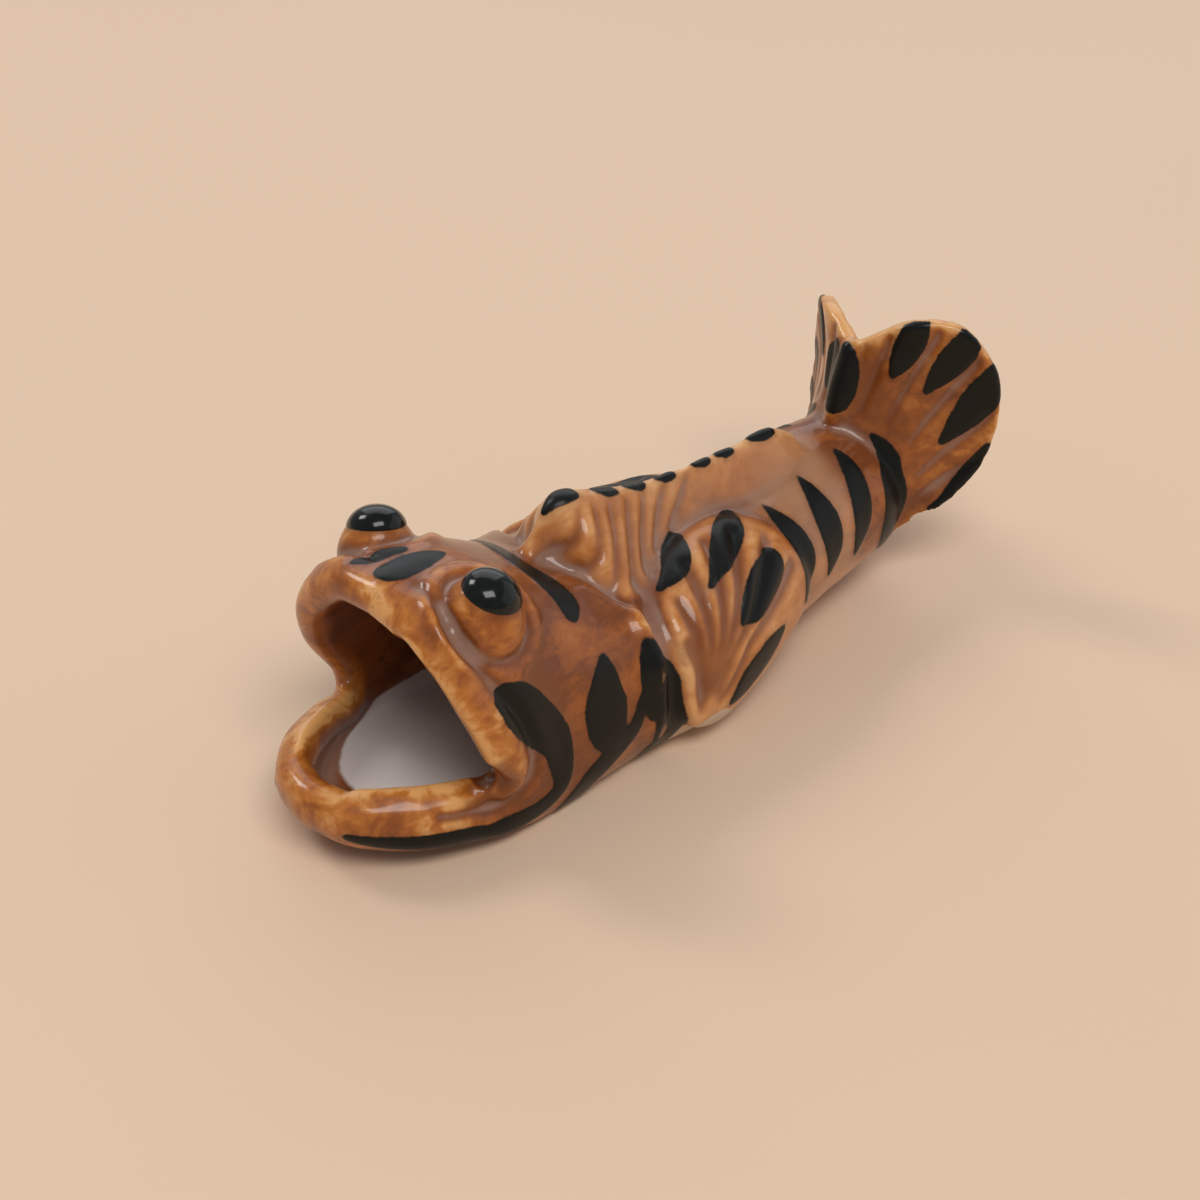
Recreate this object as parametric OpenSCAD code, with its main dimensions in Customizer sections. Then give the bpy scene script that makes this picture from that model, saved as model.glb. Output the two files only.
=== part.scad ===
// Chopstick rest: a small glazed fish with its mouth open, luted together from clay pieces.
// X runs along the fish, head at -X and tail at +X. Z is up.
// The origin is the middle of the foot's face on the table.

/* [Body] */
// Length of the body, from the front of the chin to the end of the tail stalk
body_l = 78.5; // [65:0.5:95]
// Height of the forehead over the table
head_h = 27; // [23:0.5:32]
// Width of the trunk at its widest
body_w = 26; // [22:0.5:32]
// Thickness of the clay wall
wall_t = 2.6; // [2:0.1:3.2]

/* [Mouth] */
// Width of the mouth, between the middles of the lip at its widest
mouth_w = 23; // [19:0.5:26]
// Height of the open mouth, between the middles of the two lips
gape_h = 18.5; // [14:0.5:21]
// Length of the lower jaw in front of the mouth corners, as a share of the body's length
jaw_share = 0.166; // [0.12:0.002:0.2]
// Height of the lower lip's middle over the table
lower_lip_h = 6.3; // [5.5:0.1:7.5]
// Thickness of the rolled lip
lip_t = 3.9; // [3:0.1:4.6]
// Depth of the hollow behind the mouth corners
pocket_l = 38; // [20:1:46]

/* [Foot] */
// Length of the bare clay foot
foot_l = 44; // [38:0.5:50]
// Width of the foot at its widest
foot_w = 22; // [17:0.5:23]
// Height of the foot
foot_h = 0.5; // [0.4:0.1:1.2]
// Distance of the foot's front edge behind the chin
foot_setback = 7.7; // [6.5:0.1:9]

/* [Eyes] */
// Width of an eyeball
eye_d = 7.8; // [6.5:0.1:9]
// Depth of the left eyeball's middle under the skin of the head
eye_sink = 0.5; // [0.2:0.1:0.8]
// Depth by which the right eyeball sits lower than the left one
eye_lower = 0.6; // [0:0.1:0.8]
// Width of the dark cap on the eyeball
pupil_d = 5.8; // [3.5:0.1:5.8]
// Thickness of the dark cap
pupil_t = 0.5; // [0.3:0.05:0.8]
// Thickness of the coil of clay round the eyeball
rim_t = 1.0; // [0.7:0.1:1.5]

/* [Dorsal fin] */
// Length of the fin along the back, as a share of the body's length
dorsal_share = 0.484; // [0.36:0.004:0.484]
// Height of the fin's front over the back
dorsal_h = 7; // [4:0.1:9]
// Number of grooves across the front half of the fin
dorsal_grooves = 7; // [3:1:9]

/* [Pectoral fins] */
// Length of the fan along the flank
pectoral_l = 22.5; // [17:0.5:23]
// Thickness of the fan
pectoral_t = 1.5; // [0.9:0.1:2]
// Number of rays in the fan
pectoral_rays = 8; // [5:1:10]
// Angle round the trunk by which the left fan sits higher than the right one
pectoral_turn = 6; // [0:1:8]

/* [Gill covers] */
// Width of the raised band behind the cheek
gill_w = 5.5; // [4:0.5:7]
// Thickness of its rear edge
gill_t = 1.1; // [0.7:0.1:1.5]

/* [Tail] */
// Height of the tail's top over the table
tail_h = 31; // [26:0.5:36]
// Width across both lobes
tail_w = 27; // [20:0.5:34]
// Distance that the lobes reach behind their root
tail_l = 17; // [12:0.5:22]
// Thickness of a lobe
tail_t = 2.4; // [1.8:0.1:3]
// Height by which the left lobe stands over the right one
tail_lean = 3.6; // [0:0.1:4]
// Number of rays in each lobe
tail_rays = 6; // [4:1:9]

/* [Hidden] */

// Thin bed of slip between two luted pieces
slip_gap = 0.08;

// Glaze and clay colours
amber = "#b9783f";
honey = "#c98a4b";
glaze_black = "#23261f";
bare_clay = "#e6dccb";

// Points round the body, and round a small piece
body_sides = 48;
small_sides = 30;

// Place of the mouth corners and of the foot's middle, behind the front of the chin
jaw_l = jaw_share * body_l;
corner_x = jaw_l + lip_t / 2;
middle_x = foot_setback + foot_l / 2;

// Where the head's surface passes into the trunk's, as a share of the body's length
neck_share = 0.29;

// Trunk sections: place along the body, height of the back, of the belly, half width,
// height of the widest line, then the fullness of the upper and of the lower half
trunk_shares = [
    [0.29, 0.905, -0.180, 1.00, 0.380, 2.15, 3.2],
    [0.36, 0.790, -0.120, 1.02, 0.380, 2.10, 3.1],
    [0.44, 0.700, -0.080, 1.03, 0.370, 2.05, 3.2],
    [0.54, 0.675, -0.080, 1.04, 0.360, 2.00, 3.5],
    [0.64, 0.655, -0.050, 0.96, 0.350, 2.00, 2.6],
    [0.75, 0.640, 0.000, 0.80, 0.340, 2.00, 2.2],
    [0.86, 0.665, 0.020, 0.68, 0.340, 2.00, 2.1],
    [0.92, 0.668, 0.035, 0.64, 0.345, 2.00, 2.0],
    [0.96, 0.640, 0.060, 0.59, 0.345, 2.00, 2.0],
    [1.00, 0.560, 0.120, 0.44, 0.335, 2.00, 2.0]];

// Middle line of the lip, by angle from the top of the mouth to its bottom: place in front of
// the corners, sideways and upwards, then the direction and the length of the wall that leaves
// it, and the lip's thickness
lip_shares = [
    [0, -0.27, 0.00, 1.00, 1.00, 0.00, 0.05, 0.90, 1.00],
    [25, -0.28, 0.48, 0.94, 1.00, 0.05, 0.05, 0.90, 1.00],
    [50, -0.26, 0.88, 0.70, 1.00, 0.10, 0.00, 0.90, 1.00],
    [72, -0.15, 1.06, 0.38, 1.00, 0.10, 0.00, 0.90, 0.95],
    [90, 0.05, 1.00, 0.10, 1.00, 0.25, -0.10, 0.90, 0.85],
    [102, -0.05, 0.88, -0.03, 0.60, 0.60, -0.80, 0.95, 0.85],
    [118, -0.33, 0.80, -0.03, 0.20, 0.55, -1.00, 1.00, 0.95],
    [138, -0.66, 0.62, -0.01, 0.00, 0.25, -1.00, 1.00, 1.00],
    [160, -0.92, 0.33, 0.00, -0.05, 0.10, -1.00, 1.00, 1.00],
    [180, -1.00, 0.00, 0.00, -0.05, 0.00, -1.00, 1.00, 1.00]];

// Half outline of the foot: place along it and half width
foot_shares = [[0, 0], [0.03, 0.22], [0.09, 0.44], [0.16, 0.62], [0.23, 0.83], [0.31, 0.93],
    [0.42, 0.96], [0.55, 0.96], [0.69, 0.98], [0.80, 0.97], [0.88, 0.85], [0.945, 0.62],
    [0.985, 0.35], [1, 0]];

// Place of an eye on the head's surface: from the lip to the neck, and round from the top
eye_along_share = 0.53;
eye_angle = 34;

// Dorsal fin: place along it, height, half angle of its base round the back
dorsal_start_share = 0.365;
dorsal_shares = [[0, 0.06, 6], [0.06, 0.62, 9], [0.11, 0.93, 26], [0.16, 1.00, 36], [0.24, 0.88, 33],
    [0.35, 0.72, 22], [0.46, 0.63, 15], [0.60, 0.60, 13], [0.74, 0.60, 17], [0.90, 0.56, 18],
    [1, 0.20, 14]];

// Pectoral fan: place behind its front edge and angle round the trunk, round the outline
pectoral_start_share = 0.462;
pectoral_shares = [[0.06, 110], [0.00, 88], [0.02, 58], [0.17, 34], [0.40, 21], [0.64, 19],
    [0.83, 32], [0.93, 58], [0.98, 88], [0.94, 106], [0.78, 118], [0.55, 123], [0.33, 124],
    [0.16, 119]];
pectoral_root_share = [0.12, 108];

// Rear edge of the gill cover: angle round the trunk, place along the body
gill_shares = [[12, 0.392], [30, 0.416], [48, 0.436], [66, 0.442], [86, 0.440], [102, 0.444],
    [118, 0.446]];

// Root of a tail lobe on the stalk: place along the body and angle, from the ridge downwards
tail_root_shares = [[0, 0.913, 1], [0.18, 0.932, 22], [0.38, 0.948, 46], [0.58, 0.954, 74],
    [0.78, 0.952, 104], [1, 0.946, 134]];
// Free edge of a lobe: place behind the root, sideways and upwards, from the ridge downwards
tail_edge_shares = [[0, 0.18, 0.00, 0.860], [0.2, 0.34, 0.45, 0.941], [0.38, 0.55, 0.77, 0.910],
    [0.55, 0.70, 0.96, 0.750], [0.7, 0.73, 1.00, 0.570], [0.83, 0.65, 0.94, 0.400],
    [0.93, 0.48, 0.82, 0.270], [1, 0.28, 0.68, 0.190]];

// Smooth reading of a table at place s, its first column being the place
function row_slope(rows, i) =
    let (a = rows[max(i - 1, 0)], b = rows[min(i + 1, len(rows) - 1)]) (b - a) / (b[0] - a[0]);
function row_find(rows, s, i = 0) =
    i >= len(rows) - 2 || s < rows[i + 1][0] ? i : row_find(rows, s, i + 1);
function row_at(rows, s) =
    let (i = row_find(rows, s), d = rows[i + 1][0] - rows[i][0], t = (s - rows[i][0]) / d)
    rows[i] * (1 + 2 * t) * pow(1 - t, 2) + rows[i + 1] * t * t * (3 - 2 * t)
    + row_slope(rows, i) * d * t * pow(1 - t, 2) - row_slope(rows, i + 1) * d * t * t * (1 - t);

// Small helpers
function signed_pow(v, e) = sign(v) * pow(abs(v), e);
function unit(v) = v / norm(v);
function mix(a, b, t) = a + (b - a) * t;
function hermite(p0, t0, p1, t1, u) =
    p0 * (1 + 2 * u) * pow(1 - u, 2) + p1 * u * u * (3 - 2 * u)
    + t0 * u * pow(1 - u, 2) - t1 * u * u * (1 - u);
function on_foot(p, inset = 0) = [p[0], p[1], max(p[2], foot_h + inset)];

// Point of the trunk at share s of the length and angle a from the back; a from 0 to 180 is
// the left side, at -Y; inset draws the section in by a wall
function trunk_point(s, a, inset = 0) =
    let (
        r = row_at(trunk_shares, s),
        up = cos(a) > 0,
        e = 2 / (up ? r[5] : r[6]),
        widest = r[4] * head_h,
        rise = up ? r[1] * head_h - inset - widest : widest - r[2] * head_h - inset,
        half = r[3] * body_w / 2 - inset)
    on_foot([s * body_l - middle_x, -half * signed_pow(sin(a), e),
        widest + rise * signed_pow(cos(a), e)], inset);

// Middle of the lip at angle a, the wall's direction there, its length share and thickness
function lip_middle(a) =
    let (b = (a + 360) % 360, m = b > 180 ? 360 - b : b, side = b > 180 ? 1 : -1,
        r = row_at(lip_shares, m))
    [[corner_x - middle_x + r[1] * jaw_l, side * r[2] * mouth_w / 2, lower_lip_h + r[3] * gape_h],
        unit([r[4], side * r[5], r[6]]), r[7], r[8]];
// Direction out of the mouth's outline, square to the wall
lip_step = 2;
function lip_outward(a) =
    unit(cross(lip_middle(a + lip_step)[0] - lip_middle(a - lip_step)[0], lip_middle(a)[1]));
function lip_point(a, turn) =
    let (m = lip_middle(a))
    m[0] + m[3] * lip_t / 2 * (cos(turn) * lip_outward(a) - sin(turn) * m[1]);

// Head surface from the lip, u = 0, to the neck, u = 1; inner is the wall's inside
neck_step_share = 0.004;
function head_point(u, a, inner = false) =
    let (
        m = lip_middle(a),
        inset = inner ? wall_t : 0,
        start = lip_point(a, inner ? 180 : 0),
        end = trunk_point(neck_share, a, inset),
        reach = norm(end - start),
        run = (trunk_point(neck_share + neck_step_share, a, inset) - end)
            / (neck_step_share * body_l))
    on_foot(hermite(start, m[1] * m[2] * reach, end, run * reach, u), inset);

// Outside of the body: u from 0 to 1 over the head, from 1 to 2 over the trunk
function skin(u, a) =
    u < 1 ? head_point(u, a) : trunk_point(mix(neck_share, 1, u - 1), a);
// The same place given as a share of the body's length, behind the neck
function trunk_u(s) = 1 + (s - neck_share) / (1 - neck_share);
skin_step_share = 0.01;
skin_turn = 1.5;
function skin_normal(u, a) =
    unit(cross(skin(u, a + skin_turn) - skin(u, a - skin_turn),
        skin(min(u + skin_step_share, 2), a) - skin(max(u - skin_step_share, 0), a)));
function over_skin(u, a, h) = skin(u, a) + skin_normal(u, a) * h;

// Solid through closed rings, each ended by a point
module lofted(first, rings, last) {
    n = len(rings[0]);
    k = len(rings);
    points = [first, for (r = rings) each r, last];
    faces = [
        for (j = [0 : n - 1]) [0, 1 + (j + 1) % n, 1 + j],
        for (i = [0 : k - 2], j = [0 : n - 1])
            let (a = 1 + i * n + j, b = 1 + i * n + (j + 1) % n) each [[a, b, b + n], [a, b + n, a + n]],
        for (j = [0 : n - 1]) [k * n + 1, 1 + (k - 1) * n + j, 1 + (k - 1) * n + (j + 1) % n]];
    polyhedron(points, faces);
}

// Solid between two grids of points of the same size, the first one outside
module slab(top, bed) {
    rows = len(top);
    cols = len(top[0]);
    n = rows * cols;
    points = [for (r = top) each r, for (r = bed) each r];
    faces = [
        for (i = [0 : rows - 2], j = [0 : cols - 2])
            let (a = i * cols + j) each [[a, a + 1, a + cols + 1], [a, a + cols + 1, a + cols],
                [n + a, n + a + cols + 1, n + a + 1], [n + a, n + a + cols, n + a + cols + 1]],
        for (i = [0 : rows - 2])
            let (a = i * cols, b = a + cols - 1) each [[a, a + cols, n + a + cols], [a, n + a + cols, n + a],
                [b, n + b + cols, b + cols], [b, n + b, n + b + cols]],
        for (j = [0 : cols - 2])
            let (a = j, b = n - cols + j) each [[a, n + a + 1, a + 1], [a, n + a, n + a + 1],
                [b, b + 1, n + b + 1], [b, n + b + 1, n + b]]];
    polyhedron(points, faces);
}

// Smooth curve from b to c at share f, with the points before and after them
function spline(a, b, c, d, f) =
    0.5 * (2 * b + (c - a) * f + (2 * a - 5 * b + 4 * c - d) * f * f + (3 * b - a - 3 * c + d) * f * f * f);
// Closed smooth outline through points given by hand, in steps
function ring_at(points, t) =
    let (n = len(points), i = floor(t))
    spline(points[(i - 1 + n) % n], points[i % n], points[(i + 1) % n], points[(i + 2) % n], t - i);

// Hollow body with its rolled lip: outside, lip and inside are one wall
module body_shell() {
    angles = [for (j = [0 : body_sides - 1]) j * 360 / body_sides];
    trunk_rings = 18;
    head_rings = 12;
    lip_rings = 6;
    inner_rings = 5;
    pocket_rings = 7;
    pocket_end_share = (corner_x + pocket_l) / body_l;
    // Round end of the pocket: the section shrinks to its middle over the last stretch
    end_stretch_share = 0.12;
    pocket_sweep = 88;
    // Bulge of the stalk's end between the tail lobes, as a share of the body's width
    stalk_bulge_share = 0.05;
    function pocket_point(s, a) =
        let (t = max(0, (s - pocket_end_share + end_stretch_share) / end_stretch_share),
            k = sqrt(max(0, 1 - t * t)), p = trunk_point(s, a, wall_t),
            mid = pocket_middle(s))
        mid + (p - mid) * k;
    function pocket_middle(s) =
        (trunk_point(s, 0, wall_t) + trunk_point(s, 180, wall_t)) / 2;
    stalk_end = (trunk_point(1, 0) + trunk_point(1, 180)) / 2;
    color(amber) lofted(
        stalk_end + [stalk_bulge_share * body_w, 0, 0],
        [
            for (i = [0 : trunk_rings])
                let (s = mix(1, neck_share, i / trunk_rings)) [for (a = angles) trunk_point(s, a)],
            for (i = [1 : head_rings])
                let (u = 1 - i / head_rings) [for (a = angles) head_point(u, a)],
            for (i = [1 : lip_rings - 1]) [for (a = angles) lip_point(a, 180 * i / lip_rings)],
            for (i = [0 : inner_rings]) [for (a = angles) head_point(i / inner_rings, a, true)],
            for (i = [1 : pocket_rings])
                let (s = mix(neck_share, pocket_end_share, sin(pocket_sweep * i / pocket_rings)))
                    [for (a = angles) pocket_point(s, a)]],
        pocket_middle(pocket_end_share));
}

// Bare clay pad under the belly
module foot() {
    steps = 36;
    half = [for (i = [0 : steps]) foot_edge(i / steps)];
    color(bare_clay) linear_extrude(foot_h - slip_gap)
        polygon([for (p = half) p, for (i = [steps - 1 : -1 : 1]) [half[i][0], -half[i][1]]]);
}
// Point of the foot's left edge at share t of its outline, from front to back
function foot_edge(t) =
    let (n = len(foot_shares) - 1, i = min(floor(t * n), n - 1),
        p = spline(foot_shares[max(i - 1, 0)], foot_shares[i], foot_shares[i + 1],
            foot_shares[min(i + 2, n)], t * n - i))
    [(p[0] - 0.5) * foot_l, -max(p[1], 0) * foot_w / 2];

// Eye: its seat on the skin, its own directions and its middle
eye_foot = skin(eye_along_share, eye_angle);
eye_up = skin_normal(eye_along_share, eye_angle);
eye_along = unit(skin(eye_along_share + skin_step_share, eye_angle) - eye_foot);
eye_across = cross(eye_up, eye_along);
// The ball stands taller than it is wide
ball_rise_share = 1.18;
function ball_place(way, grow, sink) =
    let (d = way * (eye_d / 2 + grow)) eye_foot - eye_up * sink + [d[0], d[1], d[2] * ball_rise_share];
// Direction at an angle from an axis, turned round it
function cone_way(axis, along, polar, turn) =
    axis * cos(polar) + sin(polar) * (along * cos(turn) + cross(axis, along) * sin(turn));
// The dark cap sits on top of the ball and leans outwards
pupil_lean_shares = [0.15, -0.28, 0.95];
pupil_axis = unit(pupil_lean_shares);
pupil_along = unit(cross([0, 1, 0], pupil_axis));
// Place on the skin, round the eye, at radius r
skin_along_rate = norm(skin(eye_along_share + skin_step_share, eye_angle)
    - skin(eye_along_share - skin_step_share, eye_angle)) / (2 * skin_step_share);
skin_turn_rate = norm(skin(eye_along_share, eye_angle + skin_turn)
    - skin(eye_along_share, eye_angle - skin_turn)) / (2 * skin_turn);
// Angles grow towards the left side, against the direction across the eye
turn_sense = sign((skin(eye_along_share, eye_angle + skin_turn) - eye_foot) * eye_across);
function eye_seat(r, turn, h) =
    over_skin(eye_along_share + r * cos(turn) / skin_along_rate,
        eye_angle + turn_sense * r * sin(turn) / skin_turn_rate, h);

// Ball with its lower part cut to the skin that it sits on
module eyeball(sink) {
    turns = [for (j = [0 : small_sides - 1]) j * 360 / small_sides];
    ball_rings = 7;
    seat_rings = 3;
    // Low wall under the ball, as a share of the clay's, and its seat's width as a share of its own
    skirt_share = 0.14;
    seat_share = 0.96;
    last = acos((sink + skirt_share * wall_t) / (eye_d / 2));
    seat_r = eye_d / 2 * sin(last) * seat_share;
    color(honey) lofted(ball_place(eye_up, 0, sink), [
        for (i = [1 : ball_rings])
            [for (t = turns) ball_place(cone_way(eye_up, eye_along, last * i / ball_rings, t), 0, sink)],
        for (i = [0 : seat_rings - 1])
            [for (t = turns) eye_seat(seat_r * (1 - i / seat_rings), t, slip_gap)]],
        eye_seat(0, 0, slip_gap));
}
module left_eyeball() eyeball(eye_sink);
module right_eyeball() mirror([0, 1, 0]) eyeball(eye_sink + eye_lower);

// Thick drop of dark glaze on the ball, full in the middle and thin at its edge
module pupil(sink) {
    turns = [for (j = [0 : small_sides - 1]) j * 360 / small_sides];
    cap_rings = 5;
    bed_rings = 3;
    edge_share = 0.25;
    edge = asin(pupil_d / eye_d);
    function spot(polar, t, h) =
        ball_place(cone_way(pupil_axis, pupil_along, polar, t), slip_gap + h, sink);
    color(glaze_black) lofted(spot(0, 0, pupil_t), [
        for (i = [1 : cap_rings])
            let (k = i / cap_rings)
                [for (t = turns) spot(edge * k, t, pupil_t * mix(1, edge_share, pow(k, 4)))],
        for (i = [0 : bed_rings - 1]) [for (t = turns) spot(edge * (1 - i / bed_rings), t, 0)]],
        spot(0, 0, 0));
}
module left_pupil() pupil(eye_sink);
module right_pupil() mirror([0, 1, 0]) pupil(eye_sink + eye_lower);

// Coil of clay pressed on the skin round the eyeball
module left_eye_rim() {
    turns = [for (j = [0 : small_sides - 1]) j * 360 / small_sides];
    // Half width of the ball in the direction at angle t, measured along the skin
    function ball_half(t) =
        let (way = eye_along * cos(t) + eye_across * sin(t))
        eye_d / 2 * norm([way[0], way[1], way[2] * ball_rise_share]);
    color(amber) ring_of([for (t = turns) rim_section(t, ball_half(t) + slip_gap)]);
}
module right_eye_rim() mirror([0, 1, 0]) left_eye_rim();
// Section of the coil: flat on the skin, then round above, as shares of its thickness
rim_shares = [[1.02, 0.35], [0.75, 0.72], [0.35, 0.78], [0.02, 0.45]];
function rim_section(t, clear) = [
    for (i = [0 : 2]) eye_seat(clear + rim_t * i / 2, t, slip_gap),
    for (r = rim_shares) eye_seat(clear + rim_t * r[0], t, rim_t * r[1])];
// Closed ring through equal sections
module ring_of(sections) {
    m = len(sections);
    n = len(sections[0]);
    polyhedron([for (s = sections) each s], [
        for (i = [0 : m - 1], j = [0 : n - 1])
            let (a = i * n + j, b = i * n + (j + 1) % n,
                c = ((i + 1) % m) * n + j, d = ((i + 1) % m) * n + (j + 1) % n)
                each [[a, d, c], [a, b, d]]]);
}

// Ribbed fin along the back: a roof over the skin that narrows to a rounded ridge
module dorsal_fin() {
    rows = 26;
    cols = 14;
    // Thickness of the fin's edge, roundness of its ridge and hollowness of its sides
    edge_t = dorsal_h * 0.043;
    ridge_share = 0.035;
    side_power = 1.05;
    // Depth of the pressed grooves, where they run on the side, and how soon they start
    groove_share = 0.06;
    groove_run = 1.6;
    groove_start = 12;
    function place(i) = dorsal_start_share + dorsal_share * i / rows;
    function ridge(t) = pow(max(0, (1 - sqrt(t * t + ridge_share)) / (1 - sqrt(ridge_share))), side_power);
    function groove(k, t) = k < 0.5 ? groove_share * sin(180 * min(1, abs(t) * groove_run))
        * (1 + cos(360 * dorsal_grooves * k * 2)) * min(1, k * groove_start) : 0;
    function spot(i, j, bed) =
        let (k = i / rows, r = row_at(dorsal_shares, k), t = 1 - 2 * j / cols, u = trunk_u(place(i)),
            base = over_skin(u, t * r[2], slip_gap))
        bed ? base : base + skin_normal(u, t * r[2]) * edge_t
            + [0, 0, dorsal_h * r[1] * max(0, ridge(t) - groove(k, t))];
    color(amber) slab(
        [for (i = [0 : rows]) [for (j = [0 : cols]) spot(i, j, false)]],
        [for (i = [0 : rows]) [for (j = [0 : cols]) spot(i, j, true)]]);
}

// Fan on the flank: a lens over the skin with rays pressed in
module pectoral_fin(turn) {
    sides = 56;
    rings = 6;
    bed_rings = 4;
    root_u = trunk_u(pectoral_start_share + pectoral_root_share[0] * pectoral_l / body_l);
    // Thickness of the fan's edge, its fullness, and the depth of the pressed rays
    edge_t = pectoral_t * 0.23;
    edge_power = 6;
    ray_share = 0.22;
    // The rays spread over two thirds of the outline, the part away from the root
    ray_turns = pectoral_rays * 1.5;
    function rim(j) =
        let (p = ring_at(pectoral_shares, (sides - j) * len(pectoral_shares) / sides))
        [trunk_u(pectoral_start_share + p[0] * pectoral_l / body_l), p[1] + turn];
    function spot(j, k, top) =
        let (e = rim(j), u = mix(root_u, e[0], k), a = mix(pectoral_root_share[1] + turn, e[1], k),
            body = pectoral_t * sqrt(1 - pow(k, edge_power))
                * (1 - ray_share * k * (1 + cos(ray_turns * 360 * j / sides))))
        over_skin(u, a, slip_gap + (top ? max(body, edge_t) : 0));
    color(honey) lofted(over_skin(root_u, pectoral_root_share[1] + turn, slip_gap + pectoral_t), [
        for (i = [1 : rings]) let (k = sin(90 * i / rings)) [for (j = [0 : sides - 1]) spot(j, k, true)],
        for (i = [0 : bed_rings - 1])
            let (k = 1 - i / bed_rings) [for (j = [0 : sides - 1]) spot(j, k, false)]],
        over_skin(root_u, pectoral_root_share[1] + turn, slip_gap));
}
module left_pectoral_fin() pectoral_fin(-pectoral_turn / 2);
module right_pectoral_fin() mirror([0, 1, 0]) pectoral_fin(pectoral_turn / 2);

// Raised band behind the cheek, thin in front and thick at its rear edge
module left_gill_cover() {
    rows = 20;
    cols = 5;
    // Thickness of the front edge, how the band thickens behind it, and how its ends taper
    front_t = gill_t * 0.27;
    rise_power = 1.5;
    end_taper = 11;
    first = gill_shares[0][0];
    last = gill_shares[len(gill_shares) - 1][0];
    function spot(i, j, top) =
        let (a = mix(first, last, i / rows), k = j / cols,
            taper = sin(end_taper + (180 - 2 * end_taper) * i / rows),
            s = row_at(gill_shares, a)[1] - gill_w / body_l * taper * (1 - k),
            h = front_t + (gill_t - front_t) * pow(k, rise_power) * taper)
        over_skin(trunk_u(s), a, slip_gap + (top ? h : 0));
    color(amber) slab(
        [for (i = [0 : rows]) [for (j = [0 : cols]) spot(i, j, true)]],
        [for (i = [0 : rows]) [for (j = [0 : cols]) spot(i, j, false)]]);
}
module right_gill_cover() mirror([0, 1, 0]) left_gill_cover();

// Lobe of the tail: a plate that leaves the stalk and sweeps back and outwards
module tail_lobe(lean) {
    rows = 24;
    cols = 8;
    // The lobes share the ridge, and the lean grows from it to full over this share of the edge
    lean_share = 0.4;
    root_x = tail_root_shares[0][1] * body_l - middle_x;
    // Hollow of the lobe's inner side, height of its rays, and how far it thins to its edge
    cup = tail_t * 0.5;
    ray = tail_t * 0.12;
    edge_thin_share = 0.3;
    // The plates stand straight across the fish at the ridge and swept back further out
    sweep = 45;
    sweep_share = 0.2;
    function root(q, back) =
        let (r = row_at(tail_root_shares, q))
        over_skin(trunk_u(r[1] + back * tail_t / body_l), r[2], slip_gap);
    function edge(q) =
        let (r = row_at(tail_edge_shares, q))
        [root_x + r[1] * tail_l, -r[2] * tail_w / 2 - slip_gap,
            r[3] * tail_h + lean * sin(90 * min(1, q / lean_share))];
    // Direction through the plate
    function through(q) = let (turn = sweep * min(1, q / sweep_share)) [cos(turn), sin(turn), 0];
    function spot(q, p, back) =
        let (thin = 1 - edge_thin_share * pow(p, 3),
            base = mix(root(q, back), edge(q) + back * tail_t * thin * through(q), p),
            hollow = sin(180 * p) * (cup * sin(180 * q) + ray * cos(360 * tail_rays * q)))
        [base[0] + hollow * through(q)[0], min(base[1] + hollow * through(q)[1], -slip_gap), base[2]];
    color(honey) slab(
        [for (i = [0 : rows]) [for (j = [0 : cols]) spot(i / rows, j / cols, 0)]],
        [for (i = [0 : rows]) [for (j = [0 : cols]) spot(i / rows, j / cols, 1)]]);
}
module left_tail_lobe() tail_lobe(tail_lean / 2);
module right_tail_lobe() mirror([0, 1, 0]) tail_lobe(-tail_lean / 2);

body_shell();
foot();
left_eyeball();
right_eyeball();
left_pupil();
right_pupil();
left_eye_rim();
right_eye_rim();
dorsal_fin();
left_pectoral_fin();
right_pectoral_fin();
left_gill_cover();
right_gill_cover();
left_tail_lobe();
right_tail_lobe();
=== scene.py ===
"""Looks of the glazed fish chopstick rest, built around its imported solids."""

import bmesh
import bpy
import numpy as np
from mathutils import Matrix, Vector
from mathutils.bvhtree import BVHTree


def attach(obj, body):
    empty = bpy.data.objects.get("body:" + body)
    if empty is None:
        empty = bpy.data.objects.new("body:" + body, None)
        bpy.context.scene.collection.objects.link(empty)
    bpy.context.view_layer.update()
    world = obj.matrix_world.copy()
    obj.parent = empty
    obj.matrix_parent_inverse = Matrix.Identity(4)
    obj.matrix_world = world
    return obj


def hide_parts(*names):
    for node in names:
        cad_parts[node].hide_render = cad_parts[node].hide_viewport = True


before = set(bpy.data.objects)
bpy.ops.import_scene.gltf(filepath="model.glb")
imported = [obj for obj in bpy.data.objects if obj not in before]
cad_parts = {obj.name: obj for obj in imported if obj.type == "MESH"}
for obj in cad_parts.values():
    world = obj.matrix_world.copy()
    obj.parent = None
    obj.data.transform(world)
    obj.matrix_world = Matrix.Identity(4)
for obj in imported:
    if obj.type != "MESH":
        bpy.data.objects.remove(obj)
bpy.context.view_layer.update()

# Millimetres are used for the clay, and turned into metres when a mesh is made
MM = 0.001

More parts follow.
